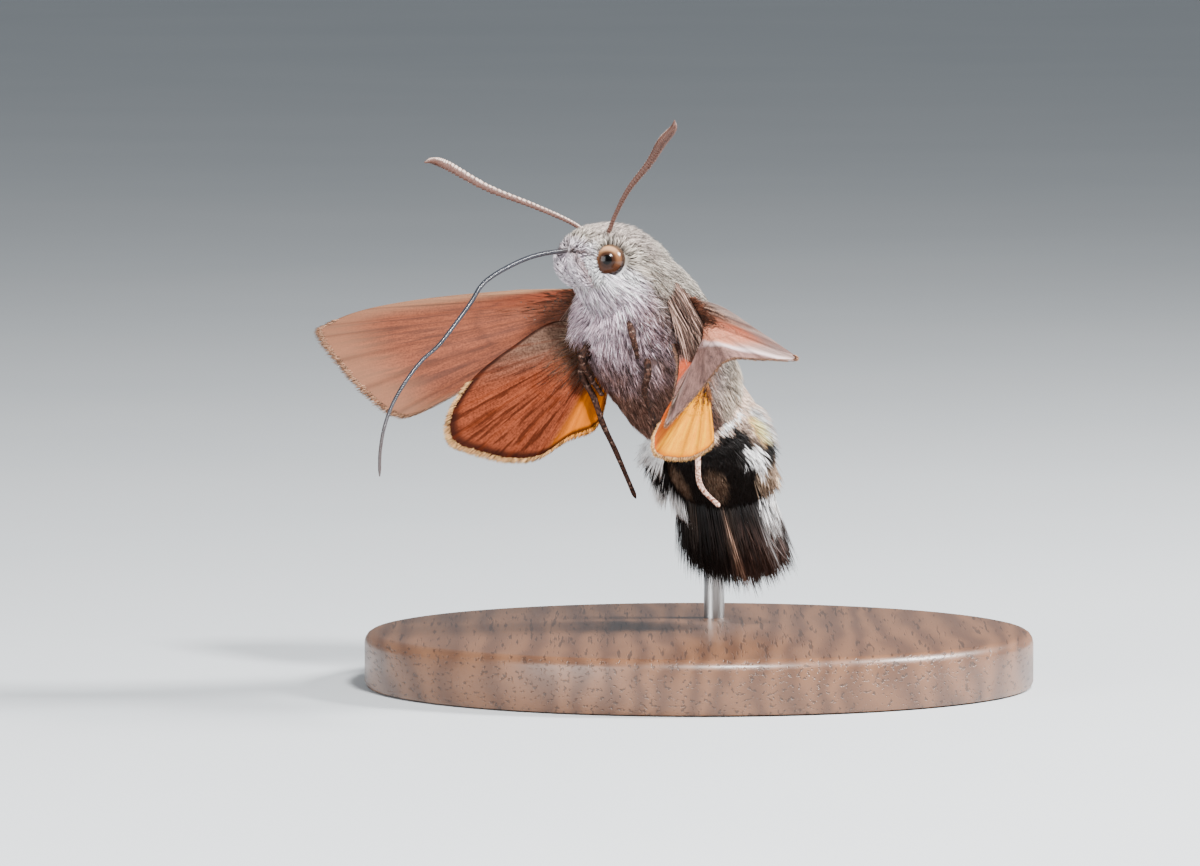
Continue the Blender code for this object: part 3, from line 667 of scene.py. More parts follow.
def chest_place(along, angle, lift):
    """A place on the solid chest, the angle counted from the belly line."""
    table = np.array(THORAX_SIZES)
    wide, deep = (np.interp(along, table[:, 0], table[:, k]) for k in (1, 2))
    turn = math.radians(angle)
    place = np.array((math.sin(turn) * wide, -math.cos(turn) * deep))
    facing = np.array((math.sin(turn) / wide, -math.cos(turn) / deep))
    place = place + facing / np.linalg.norm(facing) * lift
    return (along, *place)


def leg_line(on_chest, free, share):
    """Middle line of a leg: a rounded line through its places on the chest and beyond."""
    return along_line([chest_place(*place) for place in on_chest] + free, share)


# Tufts, whose roots lie a little below the skin

ROOT_DEPTH = 0.06
FINE_HAIR = (0.0, 0.35, 0.7, 1.0)


def tuft_rings(roots, lie, out, length, width, depth, curl, shares):
    """Tufts as closed slips: root + lie L t + out (depth (1 - (1 - t)^2)) + side curl L t^2,
    with a flat three-cornered section that narrows to a point."""
    t = np.asarray(shares)[None, :, None]
    length, width, depth, curl = (values[:, None, None] for values in (length, width, depth, curl))
    side = unit(np.cross(out, lie))[:, None]
    out = out[:, None]
    rise = depth * (1 - (1 - t) ** 2) - ROOT_DEPTH
    path = roots[:, None] + lie[:, None] * length * t + out * rise + side * (curl * length * t**2)
    size = width / 2 * (1 - 0.75 * t**1.5)
    left = path + side * size - out * size * 0.15
    top = path + out * size * 0.45
    right = path - side * size - out * size * 0.15
    body = np.stack([left, top, right], 2)[:, :-1]
    return np.concatenate([body.reshape(len(roots), -1, 3), path[:, -1:]], 1)


def tuft_faces(rings, count):
    """Faces of one tuft with so many rings below its tip, repeated for all of them."""
    at = np.arange(rings * 3).reshape(rings, 3)
    after = np.roll(at, -1, axis=1)
    quads = np.stack([at[:-1], after[:-1], after[1:], at[1:]], -1).reshape(-1, 4)
    tip = np.stack([at[-1], after[-1], np.full(3, rings * 3)], -1)
    root = at[0][None, ::-1]
    threes = np.concatenate([tip, root])
    step = (rings * 3 + 1) * np.arange(count)[:, None, None]
    return (quads[None] + step).reshape(-1, 4), (threes[None] + step).reshape(-1, 3)


# Tones of single hairs, the lightest colour that fur shows, and a hair's share of the unwrap
DARK_HAIR, LIGHT_HAIR, LIGHT_SHARE = 0.27, 1.5, 0.2
TONES = (0.12, 2.2)
LIGHTEST = 0.92
HAIR_PATCH = 0.003


def make_coat(name, roots, lie, out, length, width, depth, colours, unwrap, look, seed,
              shares=(0.0, 0.5, 1.0), curl=0.15, tips=None, tip_light=1.2, root_shade=0.5,
              uneven=0.2, streak=0.0, tip_at=(0.2, 1.0), dark_share=0.28):
    """A coat of tufts at the roots, in body axes, darker at the root as painted shade deep in the coat,
    and lighter at the tip.

    Some hairs, dark_share of them, are much darker than the others and some are lighter; streak
    lightens and darkens them in strands; tip_at is where along a hair the colour of its tip
    begins and where it is full."""
    draw = np.random.default_rng(seed)
    count = len(roots)
    length = np.broadcast_to(length, count) * draw.uniform(0.75, 1.2, count)
    width = np.broadcast_to(width, count) * draw.uniform(0.7, 1.25, count)
    depth = np.broadcast_to(depth, count) * draw.uniform(0.6, 1.25, count)
    bends = draw.normal(0, curl, count)
    points = tuft_rings(roots, lie, out, length, width, depth, bends, shares)
    quads, threes = tuft_faces(len(shares) - 1, count)
    t = np.concatenate([np.repeat(np.asarray(shares)[:-1], 3), [1.0]])
    odd = draw.random(count)
    tone = draw.normal(1.0, uneven, count) * np.where(odd < dark_share, DARK_HAIR, 1.0)
    tone = tone * np.where(odd > 1.0 - LIGHT_SHARE, LIGHT_HAIR, 1.0) * (1.0 + streak)
    # Painted shade: each hair darkens towards its root, deep in the coat
    tone = np.clip(tone, *TONES)[:, None] * (root_shade + (tip_light - root_shade) * t)
    ends = colours if tips is None else tips
    late = blend(t, *tip_at)[:, None]
    shown = colours[:, None] * (1 - late) + ends[:, None] * late
    shown = np.clip(shown * tone[..., None], 0.0, LIGHTEST).reshape(-1, 3)
    across = np.concatenate([np.tile([0.0, 0.5, 1.0], len(shares) - 1), [0.5]])
    patch = np.stack([across, t], -1) * HAIR_PATCH
    bake = np.clip(unwrap[:, None] + patch[None], 0, 1).reshape(-1, 2)
    return make_piece(name, from_body(points.reshape(-1, 3)), (quads, threes), look,
                      colours=shown, bake=bake)


def strands(girth, angle, seed):
    """An unrest drawn out along the body, which makes strands of lighter and darker hair."""
    across = np.radians(angle) * BODY_RADIUS
    return ripple(np.stack([girth * 0.3, across, girth * 0.1], -1), 0.42, seed)


# The skin in cells, from which roots are drawn
CELLS_ALONG, CELLS_AROUND = 160, 120


def scatter(count, low, high, first, last, seed):
    """Girths and angles spread evenly over the skin, by area: between two girths and, on both
    sides, between two angles, whose edges are soft by a degree."""
    draw = np.random.default_rng(seed)
    g_edges = np.linspace(low, high, CELLS_ALONG + 1)
    a_edges = np.linspace(-180, 180, CELLS_AROUND + 1)
    g, a = np.meshgrid((g_edges[1:] + g_edges[:-1]) / 2, (a_edges[1:] + a_edges[:-1]) / 2,
                       indexing="ij")
    along = body_place(g + 0.02, a) - body_place(g - 0.02, a)
    round_it = body_place(g, a + 1.0) - body_place(g, a - 1.0)
    area = np.linalg.norm(np.cross(along, round_it), axis=-1)
    area = area * blend(np.abs(a), first - 1, first + 1) * blend(np.abs(a), last + 1, last - 1)
    odds = area.ravel() / area.sum()
    pick = draw.choice(area.size, count, p=odds)
    i, j = np.unravel_index(pick, area.shape)
    girth = g_edges[i] + draw.random(count) * (g_edges[1] - g_edges[0])
    angle = a_edges[j] + draw.random(count) * (a_edges[1] - a_edges[0])
    return girth, angle


def lying(back, side, out, sway, lift):
    """The lie of a tuft: backwards, swayed to a side and lifted off, by shares of one."""
    return unit(back + side * np.asarray(sway)[..., None] + out * np.asarray(lift)[..., None])


# How many hairs the pieces of coat have, and the opening in the fur round an eye
HEAD_HAIRS = 17500
COAT_HAIRS = 13500
CHEEK_HAIRS = 2000
SHOULDER_HAIRS = 2200
TAIL_HAIRS = 7600
PALP_HAIRS = 1800
FRINGE_HAIRS = 2000
WING_BASE_HAIRS = 2400
EYE_OPENING = 0.98


def build_head_coat(look):
    """Short fur from the face back over the crown and away round the eyes."""
    girth, angle = scatter(HEAD_HAIRS, SNOUT + 0.02, -5.9, 0.0, 180.0, 21)
    here, back, side, out = body_frame(girth, angle)
    away, off_eye, local = from_eye(here)
    keep = ~((away < EYE_OPENING) & (np.abs(local[..., 1]) > 1.3))
    girth, angle, here, back, side, out, away, off_eye = (
        values[keep] for values in (girth, angle, here, back, side, out, away, off_eye))
    near = blend(away, 2.0, 1.15)[:, None]
    lie = lying(back, side, out, 0.25 * ripple(here, 1.6, 5) + 0.1 * ripple(here, 0.5, 6), 0.1)
    lie = unit(lie * (1 - near) + off_eye * near)
    lie = unit(lie - out * (np.einsum("ij,ij->i", lie, out) - 0.15)[:, None])
    length = 0.8 + 0.5 * blend(girth, -10.5, -7.5)
    length = length * (1 - 0.4 * blend(girth, -10.6, -11.6)) * (1 - 0.35 * near[:, 0])
    make_coat("coat_head", here, lie, out, length, 0.1, 0.32, coat_colour(girth, angle),
              skin_unwrap(girth, angle), look, 22, root_shade=0.35, uneven=0.32,
              streak=0.3 * strands(girth, angle, 23))


def beside_legs(here, gap):
    """Where a root is nearer than the gap to the middle line of a leg. The roots are taken in a
    few lots, to spare memory."""
    lines = np.concatenate([leg_line(*leg, np.linspace(0, 1, 60)) for leg in LEGS.values()])
    near = [np.linalg.norm(lot[:, None] - lines, axis=-1).min(axis=1)
            for lot in np.array_split(here, 8)]
    return np.concatenate(near) < gap


def build_cheek_hair(look):
    """Pale hairs from below the eyes back over the neck."""
    draw = np.random.default_rng(91)
    girth = draw.uniform(-9.9, -7.3, CHEEK_HAIRS)
    angle = draw.uniform(112.0, 180.0, CHEEK_HAIRS) * draw.choice([-1.0, 1.0], CHEEK_HAIRS)
    here, back, side, out = body_frame(girth, angle)
    lie = lying(back, side, out, 0.12 * ripple(here, 1.4, 92), 0.1)
    colours = mixed(coat_colour(girth + 0.8, angle), tint(226, 210, 222), 0.5)
    length = draw.uniform(1.5, 2.5, CHEEK_HAIRS)
    make_coat("coat_cheeks", here, lie, out, length, 0.085, 0.5, colours,
              skin_unwrap(girth, angle), look, 93, shares=FINE_HAIR, curl=0.06,
              root_shade=0.75, uneven=0.22)


# Fur of the thorax: name, first and last angle on both sides, length, seed
THORAX_COATS = [("coat_back", 0.0, 63.0, 1.25, 31), ("coat_flanks", 63.0, 121.0, 1.25, 32),
                ("coat_chest", 121.0, 180.0, 1.2, 33)]

# Fur of the abdomen: name, first and last angle on both sides, seed
ABDOMEN_COATS = [("coat_abdomen_upper", 0.0, 90.0, 41), ("coat_abdomen_under", 90.0, 180.0, 42)]


def build_thorax_coat(look):
    """Fur of the thorax in three pieces: back, sides and chest, lying backwards."""
    for name, first, last, long, seed in THORAX_COATS:
        girth, angle = scatter(COAT_HAIRS, -6.8, 6.6, first, last, seed)
        keep = ~beside_legs(body_place(girth, angle), 0.75)
        girth, angle = girth[keep], angle[keep]
        here, back, side, out = body_frame(girth, angle)
        sway = 0.14 * ripple(here, 2.8, seed) + 0.06 * ripple(here, 0.7, seed + 1)
        lie = lying(back, side, out, sway, 0.02)
        colours = coat_colour(girth + 0.4, angle)
        length = long * (1 + 0.3 * blend(girth, 2.5, 6.0))
        make_coat(name, here, lie, out, length, 0.115, 0.3, colours, skin_unwrap(girth, angle),
                  look, seed + 5, root_shade=0.36, uneven=0.34,
                  streak=0.34 * strands(girth, angle, seed + 7))


# Long hair: girths, angles on both sides, how many, length, lift, tone of its tips
LONG_HAIR = [
    (-6.6, 5.6, 96.0, 180.0, 4400, 1.9, 0.03, 1.12),
    (-7.2, 2.0, 0.0, 84.0, 2300, 1.5, 0.05, 1.25),
    (3.6, 6.5, 0.0, 112.0, 1700, 1.9, 0.08, 1.2),
    (7.5, 9.7, 44.0, 88.0, 800, 1.6, 0.34, 1.35),
]


def build_long_hair(look):
    """Longer, finer hairs that lie over the fur of the chest, the back and the waist, and leave
    the legs and the places of the wings free."""
    draw = np.random.default_rng(45)
    rows = []
    for low, high, first, last, count, *sizes in LONG_HAIR:
        girth = draw.uniform(low, high, count)
        angle = draw.uniform(first, last, count) * draw.choice([-1.0, 1.0], count)
        by_wing = (np.abs(np.abs(angle) - 62.0) < 12.0) & (girth > -4.2) & (girth < 1.0)
        keep = ~by_wing & ~beside_legs(body_place(girth + 0.6, angle), 1.0)
        sizes = [np.full(count, size) for size in sizes]
        rows.append([values[keep] for values in (girth, angle, *sizes)])
    girth, angle, long, lift, tone = (np.concatenate(column) for column in zip(*rows))
    here, back, side, out = body_frame(girth, angle)
    lie = lying(back, side, out, 0.16 * ripple(here, 2.6, 46) + 0.06 * ripple(here, 0.5, 47), lift)
    colours = coat_colour(girth + 0.8, angle)
    make_coat("coat_long_hair", here, lie, out, long, 0.07, 0.3, colours * 0.9,
              skin_unwrap(girth, angle), look, 48, shares=FINE_HAIR, curl=0.08,
              tips=np.clip(colours * tone[:, None], 0, 0.9), root_shade=0.5, tip_light=1.25,
              uneven=0.34)


def build_shoulder_hair(look):
    """A bundle of long hairs from each shoulder down over the base of the forewing."""
    draw = np.random.default_rng(55)
    count = SHOULDER_HAIRS
    sign = draw.choice([-1.0, 1.0], count)
    girth = draw.uniform(-5.0, -3.2, count)
    angle = sign * draw.uniform(60.0, 88.0, count)
    here, _, _, out = body_frame(girth, angle)
    down = np.stack([np.full(count, -0.63), 0.42 * sign, np.full(count, -0.64)], -1)
    lie = unit(down + draw.normal(0, 0.07, (count, 3)))
    face = unit(out - lie * np.einsum("ij,ij->i", out, lie)[:, None])
    colours = mixed(np.broadcast_to(tint(74, 50, 42), (count, 3)), tint(186, 152, 136),
                    draw.random(count))
    length = draw.uniform(3.4, 6.2, count)
    make_coat("coat_shoulder_hair", here + face * 0.25, lie, face, length, 0.1, 0.5, colours,
              skin_unwrap(girth, angle), look, 56, shares=(0.0, 0.3, 0.65, 1.0),
              curl=0.05, root_shade=0.7, uneven=0.3)


def build_abdomen_coat(look):
    """Fur of the abdomen: flat scales and hairs, in two pieces."""
    for name, first, last, seed in ABDOMEN_COATS:
        girth, angle = scatter(COAT_HAIRS, 6.4, 14.6, first, last, seed)
        here, back, side, out = body_frame(girth, angle)
        lie = lying(back, side, out, 0.12 * ripple(here, 1.8, seed), 0.06)
        make_coat(name, here, lie, out, 0.95, 0.125, 0.34, coat_colour(girth + 0.45, angle),
                  skin_unwrap(girth, angle), look, seed + 5, uneven=0.24, root_shade=0.55,
                  streak=0.12 * strands(girth, angle, seed + 7), dark_share=0.14)


# The fan: half width, how far it reaches along the abdomen, how much less at its corners, strands
FAN_HALF_WIDTH = 4.2
FAN_REACH = 13.45
FAN_ROUNDING = 1.5
FAN_STRANDS = 15


def build_tail(look):
    """The tail fan: long hairs in strands that part towards a rounded, ragged edge, black, with
    brown tips on its left half as a painted sheen, a pale streak below and short white hairs at its
    sides."""
    draw = np.random.default_rng(51)
    count = TAIL_HAIRS
    girth, angle = scatter(count, 13.2, TAIL - 0.05, 0.0, 180.0, 52)
    here, _, _, out = body_frame(girth, angle)
    across = here[:, 1] / FAN_HALF_WIDTH
    strand = np.round(across * FAN_STRANDS + draw.normal(0, 0.25, count)) / FAN_STRANDS
    reach = FAN_REACH - FAN_ROUNDING * across**2 + draw.normal(0, 0.2, count)
    reach = reach + 0.3 * np.sin(strand * 71.0)
    length = np.clip(reach - (girth - WAIST), 0.6, 5.6) * draw.uniform(0.8, 1.0, count)
    bend = math.radians(ABDOMEN_BEND)
    lie = np.broadcast_to(np.array((-math.cos(bend), 0.0, -math.sin(bend))), here.shape).copy()
    lie[:, 1] += 0.3 * across + 0.55 * (strand - across)
    lie = unit(lie + out * 0.03)
    colours = mixed(coat_colour(girth, angle), FAN_BLACK, 0.7)
    streak = bump(across, 0.34, 0.035) * blend(np.abs(angle), 100, 125)
    # Painted sheen: the tips turn brown over the fan's left half
    ends = mixed(np.broadcast_to(FAN_BLACK, colours.shape), FAN_SHEEN_BROWN,
                 blend(across + draw.normal(0, 0.12, count), 0.1, 0.7))
    ends = mixed(ends, tint(190, 150, 128), 0.85 * streak)
    sides = blend(np.abs(across), 0.8, 0.95) * (girth < 14.6)
    ends = mixed(ends, WHITE, 0.95 * sides)
    length = np.where(sides > 0.3, np.minimum(length, 2.6), length)
    make_coat("tail_hair", here, lie, out, length / 0.97, 0.11, 0.1, colours,
              skin_unwrap(girth, angle), look, 53, shares=FINE_HAIR, curl=0.05,
              tips=ends, tip_light=1.3, uneven=0.3, dark_share=0.1)


# Side tufts: sides, where along the abdomen, angle from the belly, how many hairs, over how many
# degrees the roots spread, length, how far the tips stand off, how much they take the markings'
# colours, and their own colours of root and tip
SIDE_TUFTS = [
    ((-1,), 0.9, 48.0, 700, 10.0, 3.1, 1.75, 0.0, WHITE, WHITE),
    ((1, -1), 2.4, 76.0, 260, 14.0, 2.0, 0.3, 1.0, WHITE, WHITE),
    ((-1,), 2.5, 58.0, 900, 14.0, 2.9, 1.2, 0.0, BLACK, BLACK),
    ((-1,), 4.2, 60.0, 1100, 13.0, 2.3, 1.15, 0.0, BLACK, BLACK),
    ((-1,), 4.5, 57.0, 760, 8.0, 2.8, 1.35, 0.0, BLACK, WHITE),
    ((1, -1), 4.2, 88.0, 300, 12.0, 2.2, 0.3, 0.8, BLACK, BUFF),
    ((-1,), 6.2, 60.0, 700, 9.0, 2.6, 1.0, 0.0, BLACK, WHITE),
    ((1,), 6.3, 92.0, 520, 11.0, 2.9, 0.5, 0.0, WHITE, WHITE),
    ((-1,), 6.5, 88.0, 260, 12.0, 2.6, 0.3, 0.0, BLACK, WHITE),
]


def build_side_tufts(look):
    """Hairs of the side tufts, which lie back with their tips standing off the flanks."""
    draw = np.random.default_rng(61)
    rows = []
    for sides, root, angle, count, wide, length, off, marked, first, last in SIDE_TUFTS:
        for sign in sides:
            girth = WAIST + root + draw.normal(0, 0.3, count)
            at = sign * (180.0 - angle + np.clip(draw.normal(0, wide, count), -22, 22))
            long = length * draw.uniform(0.75, 1.0, count)
            marks = [coat_colour(girth + share * long, at) for share in (0.3, 0.8)]
            rows.append((girth, at, long, np.full(count, off / length),
                         mixed(np.broadcast_to(first, (count, 3)), marks[0], marked),
                         mixed(np.broadcast_to(last, (count, 3)), marks[1], marked)))
    girth, at, long, off, first, last = (np.concatenate(column) for column in zip(*rows))
    here, back, side, out = body_frame(girth, at)
    lie = lying(back, side, out, 0.16 * ripple(here, 0.9, 62), 0.04 + off)
    make_coat("side_tufts", here, lie, out, long, 0.12, 0.3, first, skin_unwrap(girth, at), look,
              63, shares=(0.0, 0.35, 0.66, 0.76, 1.0), curl=0.1, tips=last, uneven=0.12,
              root_shade=0.9, tip_at=(0.6, 0.7), dark_share=0.03)


# Palps

PALP_LINE = [(0.1, 0.85, -1.65), (0.9, 0.92, -1.5), (1.7, 0.95, -0.98), (2.35, 0.8, -0.35)]
PALP_RADII = [0.3, 0.5, 0.55, 0.3]
PALP_ROWS, PALP_AROUND = 40, 32
PALP_ROUND_FROM = 0.85


def build_palps(skin, coat):
    """Two short furred palps under the tongue: a round profile along a bent line, and fur, darker on the
    inner side as painted shade.
    """
    for name, sign in (("palp_left", 1.0), ("palp_right", -1.0)):
        share = np.linspace(0, 1, PALP_ROWS)
        line = from_head(along_line(PALP_LINE, share) * np.array((1.0, sign, 1.0)))
        radii = along_line(np.array(PALP_RADII)[:, None], share)[:, 0]
        tip = np.maximum(share - PALP_ROUND_FROM, 0)
        radii = radii * np.sqrt(np.clip(1 - tip**2 / 0.0226, 0.02, 1))
        points, quads, threes = closed_rings(carried(line, radii, PALP_AROUND))
        shade = np.broadcast_to(CHEST_LOW * 0.6, (len(points), 3))
        piece = make_piece(name + "_skin", from_body(points), (quads, threes), skin, colours=shade)
        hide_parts(name)
        draw = np.random.default_rng(71 if sign > 0 else 72)
        s = draw.random(PALP_HAIRS) * 0.97
        v = draw.random(PALP_HAIRS) * 2 * np.pi
        row = (s * (PALP_ROWS - 1)).astype(int)
        part = (s * (PALP_ROWS - 1) - row)[:, None]
        middle = line[row] * (1 - part) + line[row + 1] * part
        forward = unit(line[row + 1] - line[row])
        level = unit(np.cross(forward, np.array((0.0, 0.0, 1.0))))
        above = np.cross(level, forward)
        out = level * np.cos(v)[:, None] + above * np.sin(v)[:, None]
        roots = middle + out * np.interp(s, share, radii)[:, None]
        lie = unit(forward + out * 0.12)
        # Painted shade: the inner side of each palp, facing the other, is darker
        inner = bump(np.degrees(v), 180.0 if sign > 0 else 0.0, 40.0)
        colours = mixed(tint(206, 194, 202), CHEST_LOW * 0.8, 0.7 * inner)
        make_coat(name + "_fur", roots, lie, out, 0.6, 0.09, 0.16, colours,
                  np.stack([s * 0.9, v / 6.3 * 0.9], -1), coat, 73)


# Eyes, whose dark spot looks nearly at the camera, as in a real compound eye

CAMERA_RISE = math.radians(4.0)
CAMERA_WAY = np.array((0.0, -math.cos(CAMERA_RISE), math.sin(CAMERA_RISE)))
EYE_SPOT = unit(HEAD_TURN.T @ BODY_TURN.T @ unit(CAMERA_WAY + np.array((-0.12, 0.0, 0.04))))
EYE_UP = HEAD_TURN.T @ BODY_TURN.T @ np.array((0.0, 0.0, 1.0))
EYE_ROWS, EYE_AROUND = 48, 96


def build_eyes(look):
    """Round eyes: a sphere sin v cos u, sin v sin u, cos v. Each point carries its angle from the
    dark spot and how high it is."""
    for name, sign in (("eye_left", 1.0), ("eye_right", -1.0)):
        v, u = np.meshgrid(np.linspace(0.02, np.pi - 0.02, EYE_ROWS), circle(EYE_AROUND),
                           indexing="ij")
        ball = np.stack([np.sin(v) * np.cos(u), np.sin(v) * np.sin(u), np.cos(v)], -1)
        mirror = np.array((1.0, sign, 1.0))
        points, quads, threes = closed_rings(from_head(EYE_PLACE * mirror + ball * EYE_RADIUS))
        cosine = np.clip(on_rings(ball @ (EYE_SPOT * mirror), ball), -1, 1)
        numbers = {"spot": np.degrees(np.arccos(cosine)), "above": on_rings(ball @ EYE_UP, ball)}
        piece = make_piece(name + "_ball", from_body(points), (quads, threes), look,
                           numbers=numbers)
        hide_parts(name)


def eye_look():
    """Amber brown, darker round the rim, with painted light and shade: lighter and tan on top, where
    light from above falls, and darker below; with a black spot in a brown ring.
    """
    look = Look("eye_facets", 0.14, Specular_IOR_Level=0.22)
    spot = look.number("spot")
    above = look.number("above")
    cloud = look.noise(look.place(), 1300.0, 2.0)
    far = spot + (cloud - 0.5) * 9.0
    # Painted light and shade: darker below and lighter, then tan, on top, as light falls from above
    amber = look.mix(tint(62, 36, 24), tint(112, 76, 50), above.rise(-0.5, 0.5))
    amber = look.mix(amber, tint(178, 138, 104), above.rise(0.35, 0.85) * 0.8)
    amber = look.mix(amber, tint(34, 18, 12), far.rise(42.0, 24.0) * 0.92)
    # Painted shade: dark cells over the lower part of the ball
    low = look.cells(look.place(), 1500.0).rise(0.55, 0.2) * above.rise(0.3, -0.3)
    amber = look.mix(amber, tint(36, 20, 14), low * 0.9)
    amber = look.mix(amber, tint(20, 12, 10), far.rise(50.0, 64.0) * 0.85)
    look.paint(look.mix(amber, tint(2, 1, 1), far.rise(22.0, 15.0)))
    facets = look.cells(look.place(), 24000.0)
    look.relief(1.0 - facets, 0.0012)
    return look.material


# Feelers and tongue

ANTENNA_LEFT = [(0.35, 1.25, 1.75), (1.1, 2.9, 3.5), (1.95, 5.05, 5.1), (2.6, 7.7, 6.85),
                (3.3, 9.7, 8.3), (3.6, 11.1, 9.2), (3.9, 11.5, 9.75)]
ANTENNA_RIGHT = [(0.45, -0.8, 1.75), (1.6, -1.7, 2.4), (3.75, -3.5, 3.0), (6.4, -5.85, 3.6),
                 (8.75, -7.85, 4.55), (9.6, -8.6, 4.7), (10.1, -8.9, 4.45)]
ANTENNA_GIRTHS = [0.16, 0.17, 0.21, 0.27, 0.35, 0.26, 0.05]
ANTENNA_JOINTS = 58
ANTENNA_AROUND = 16


def build_antennae(look):
    """Feelers of many joints: each joint swells forwards like a cup, the club ends in a hook."""
    for name, points in (("antenna_left", ANTENNA_LEFT), ("antenna_right", ANTENNA_RIGHT)):
        share = np.linspace(0, 1, ANTENNA_JOINTS * 6 + 1)[:, None]
        line = from_head(along_line(points, share[:, 0]))
        radii = along_line(np.array(ANTENNA_GIRTHS)[:, None], share[:, 0])
        step = (share * ANTENNA_JOINTS) % 1.0
        upper = np.sin(circle(ANTENNA_AROUND))[None]
        cup = 0.86 + 0.2 * step**1.5
        saw = 1 + 0.16 * step**2 * blend(-upper, 0.2, 1.0)
        rings = carried(line, radii * cup * saw, ANTENNA_AROUND, up=HEAD_TURN[:, 2])
        places, quads, threes = closed_rings(rings)
        numbers = {key: on_rings(values, rings) for key, values in
                   (("joint", step), ("upper", upper), ("far", share))}
        piece = make_piece(name + "_joints", from_body(places), (quads, threes), look,
                           numbers=numbers)
        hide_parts(name)


def antenna_look():
    """Pale scales on the upper side of each joint, dark brown below and at the tip."""
    look = Look("feeler_scales", 0.5)
    joint = look.number("joint")
    upper = look.number("upper")
    far = look.number("far")
    grain = look.noise(look.place(), 5200.0, 2.0)
    dark = look.mix(tint(62, 36, 30), tint(104, 68, 54), grain)
    pale = look.mix(tint(158, 132, 120), tint(204, 184, 172), grain)
    scales = (upper + (grain - 0.5) * 0.7).rise(0.25, 0.6) * (0.25 + 0.75 * joint.rise(0.1, 0.35))
    look.paint(look.mix(dark, pale, scales * far.rise(1.0, 0.9)))
    look.relief(grain, 0.02)
    return look.material


# The tongue's line in the head's axes; its radius at the root, how much it narrows, how many
# rings it has, through how many radians its fine grooves run, and its rows and points around
PROBOSCIS = [(2.3, 0.0, 0.3), (3.2, 0.0, -0.02), (4.5, 0.0, -0.5), (5.8, 0.0, -1.15),
             (7.2, 0.0, -2.1), (8.35, 0.0, -3.05), (9.1, 0.0, -3.95), (9.65, 0.0, -5.3),
             (10.5, 0.0, -6.95), (11.5, 0.0, -8.75), (12.6, 0.0, -10.1), (13.5, 0.0, -11.7),
             (14.2, 0.0, -13.5), (14.5, 0.0, -15.3), (14.4, 0.0, -17.1), (14.0, 0.0, -18.8)]
TONGUE_RADIUS, TONGUE_NARROWS, TONGUE_RINGS = 0.2, 0.085, 190
TONGUE_GROOVES = 1190.0
TONGUE_ROWS, TONGUE_AROUND = 600, 24


def build_proboscis(look):
    """The tongue: two half tubes side by side, finely ringed, narrowing to the tip."""
    share = np.linspace(0, 1, TONGUE_ROWS)
    line = from_head(along_line(PROBOSCIS, share))
    radii = TONGUE_RADIUS - TONGUE_NARROWS * share
    radii[-12:] *= np.sqrt(np.linspace(1, 0.05, 12))
    groove = 1 - 0.16 * bump(np.abs(np.sin(circle(TONGUE_AROUND))), 1.0, 0.12)[None]
    ringed = 1 + 0.012 * np.sin(share * 2 * np.pi * TONGUE_RINGS)[:, None]
    rings = carried(line, radii[:, None] * groove * ringed, TONGUE_AROUND, up=HEAD_TURN[:, 2])
    points, quads, threes = closed_rings(rings)
    piece = make_piece("tongue_tube", from_body(points), (quads, threes), look,
                       numbers={"far": on_rings(share[:, None], rings)})
    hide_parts("proboscis")


def tongue_look():
    """Smooth blue-black horn, browner at the root and the tip, with fine rings."""
    look = Look("tongue_horn", 0.26, Coat_Weight=0.4, Coat_Roughness=0.15)
    far = look.number("far")
    cloud = look.noise(look.place(), 700.0, 3.0)
    steel = look.mix(tint(14, 15, 19), tint(46, 48, 57), cloud)
    steel = look.mix(steel, tint(60, 48, 46), far.rise(0.12, 0.0) * 0.8)
    look.paint(look.mix(steel, tint(70, 54, 50), far.rise(0.75, 1.0) * 0.7),
               roughness=0.22 + cloud * 0.14)
    look.relief((far * TONGUE_GROOVES).sine(), 0.006)
    return look.material


# Wings

# Wing margins: out along the span, back along the chord, off the wing's plane
FOREWING = [(0, 0, 0), (6, -0.55, 0), (13, -0.5, 0), (18.6, 0.2, 0), (21.6, 1.7, 0),
            (21.2, 3.6, 0), (19.4, 6.2, 0), (17, 9, 0), (14.2, 11, 0), (11.2, 9.9, 0),
            (7, 6.6, 0), (3.2, 3.9, 0), (0.5, 1.9, 0)]
FOREWING_TWISTED = [(0, 0, 0), (5.9, -0.35, -0.1), (12.8, 0.3, -0.15), (18.4, 0.9, -0.2),
                    (21.6, 1.4, -0.1), (20.9, 3.2, -1.75), (19.05, 4.7, -2.75),
                    (17.05, 6.7, -1.75), (14.3, 10.1, -0.4), (11.5, 8.25, 0), (7.3, 6.05, 0.95),
                    (3.5, 4.1, 1.6), (0.65, 2.5, 1.15)]
HINDWING = [(0, 0, 0), (2.6, -2.2, 0), (6.4, -2.5, 0), (10.2, -2.3, 0), (13.4, -1.1, 0),
            (14.5, 0.5, 0), (13.3, 2.2, 0), (11.4, 4, 0), (9, 5.3, 0), (6.1, 5.5, -0.2),
            (3.7, 6, -0.45), (1.9, 4.8, -0.45), (0.2, 2.4, 0)]
HINDWING_FOLDED = [(0, 0, 0), (2.6, -0.9, 0), (6.45, -1.1, 0), (10.3, -0.95, -0.1),
                   (13.55, -0.65, -0.2), (14.7, 0.25, -0.3), (13.25, 1.75, 0.15),
                   (11.2, 2.6, 0.35), (8.55, 3.05, 0.65), (6.15, 2.55, 0.3), (3.9, 1.8, 0.05),
                   (1.8, 1.05, -0.2), (0.4, 0.6, -0.4)]
CUP_RAYS = (0.32, 0.68)
PLEAT, PLEATS = 0.05, 12.0
WING_ROWS, WING_RAYS = 56, 190
WING_EDGE = 0.985
HALF_THICKNESS, VEIN_HEIGHT = 0.055, 0.045
WING_VEINS = (0.03, 0.1, 0.17, 0.25, 0.33, 0.41, 0.5, 0.58, 0.66, 0.75, 0.85, 0.94)

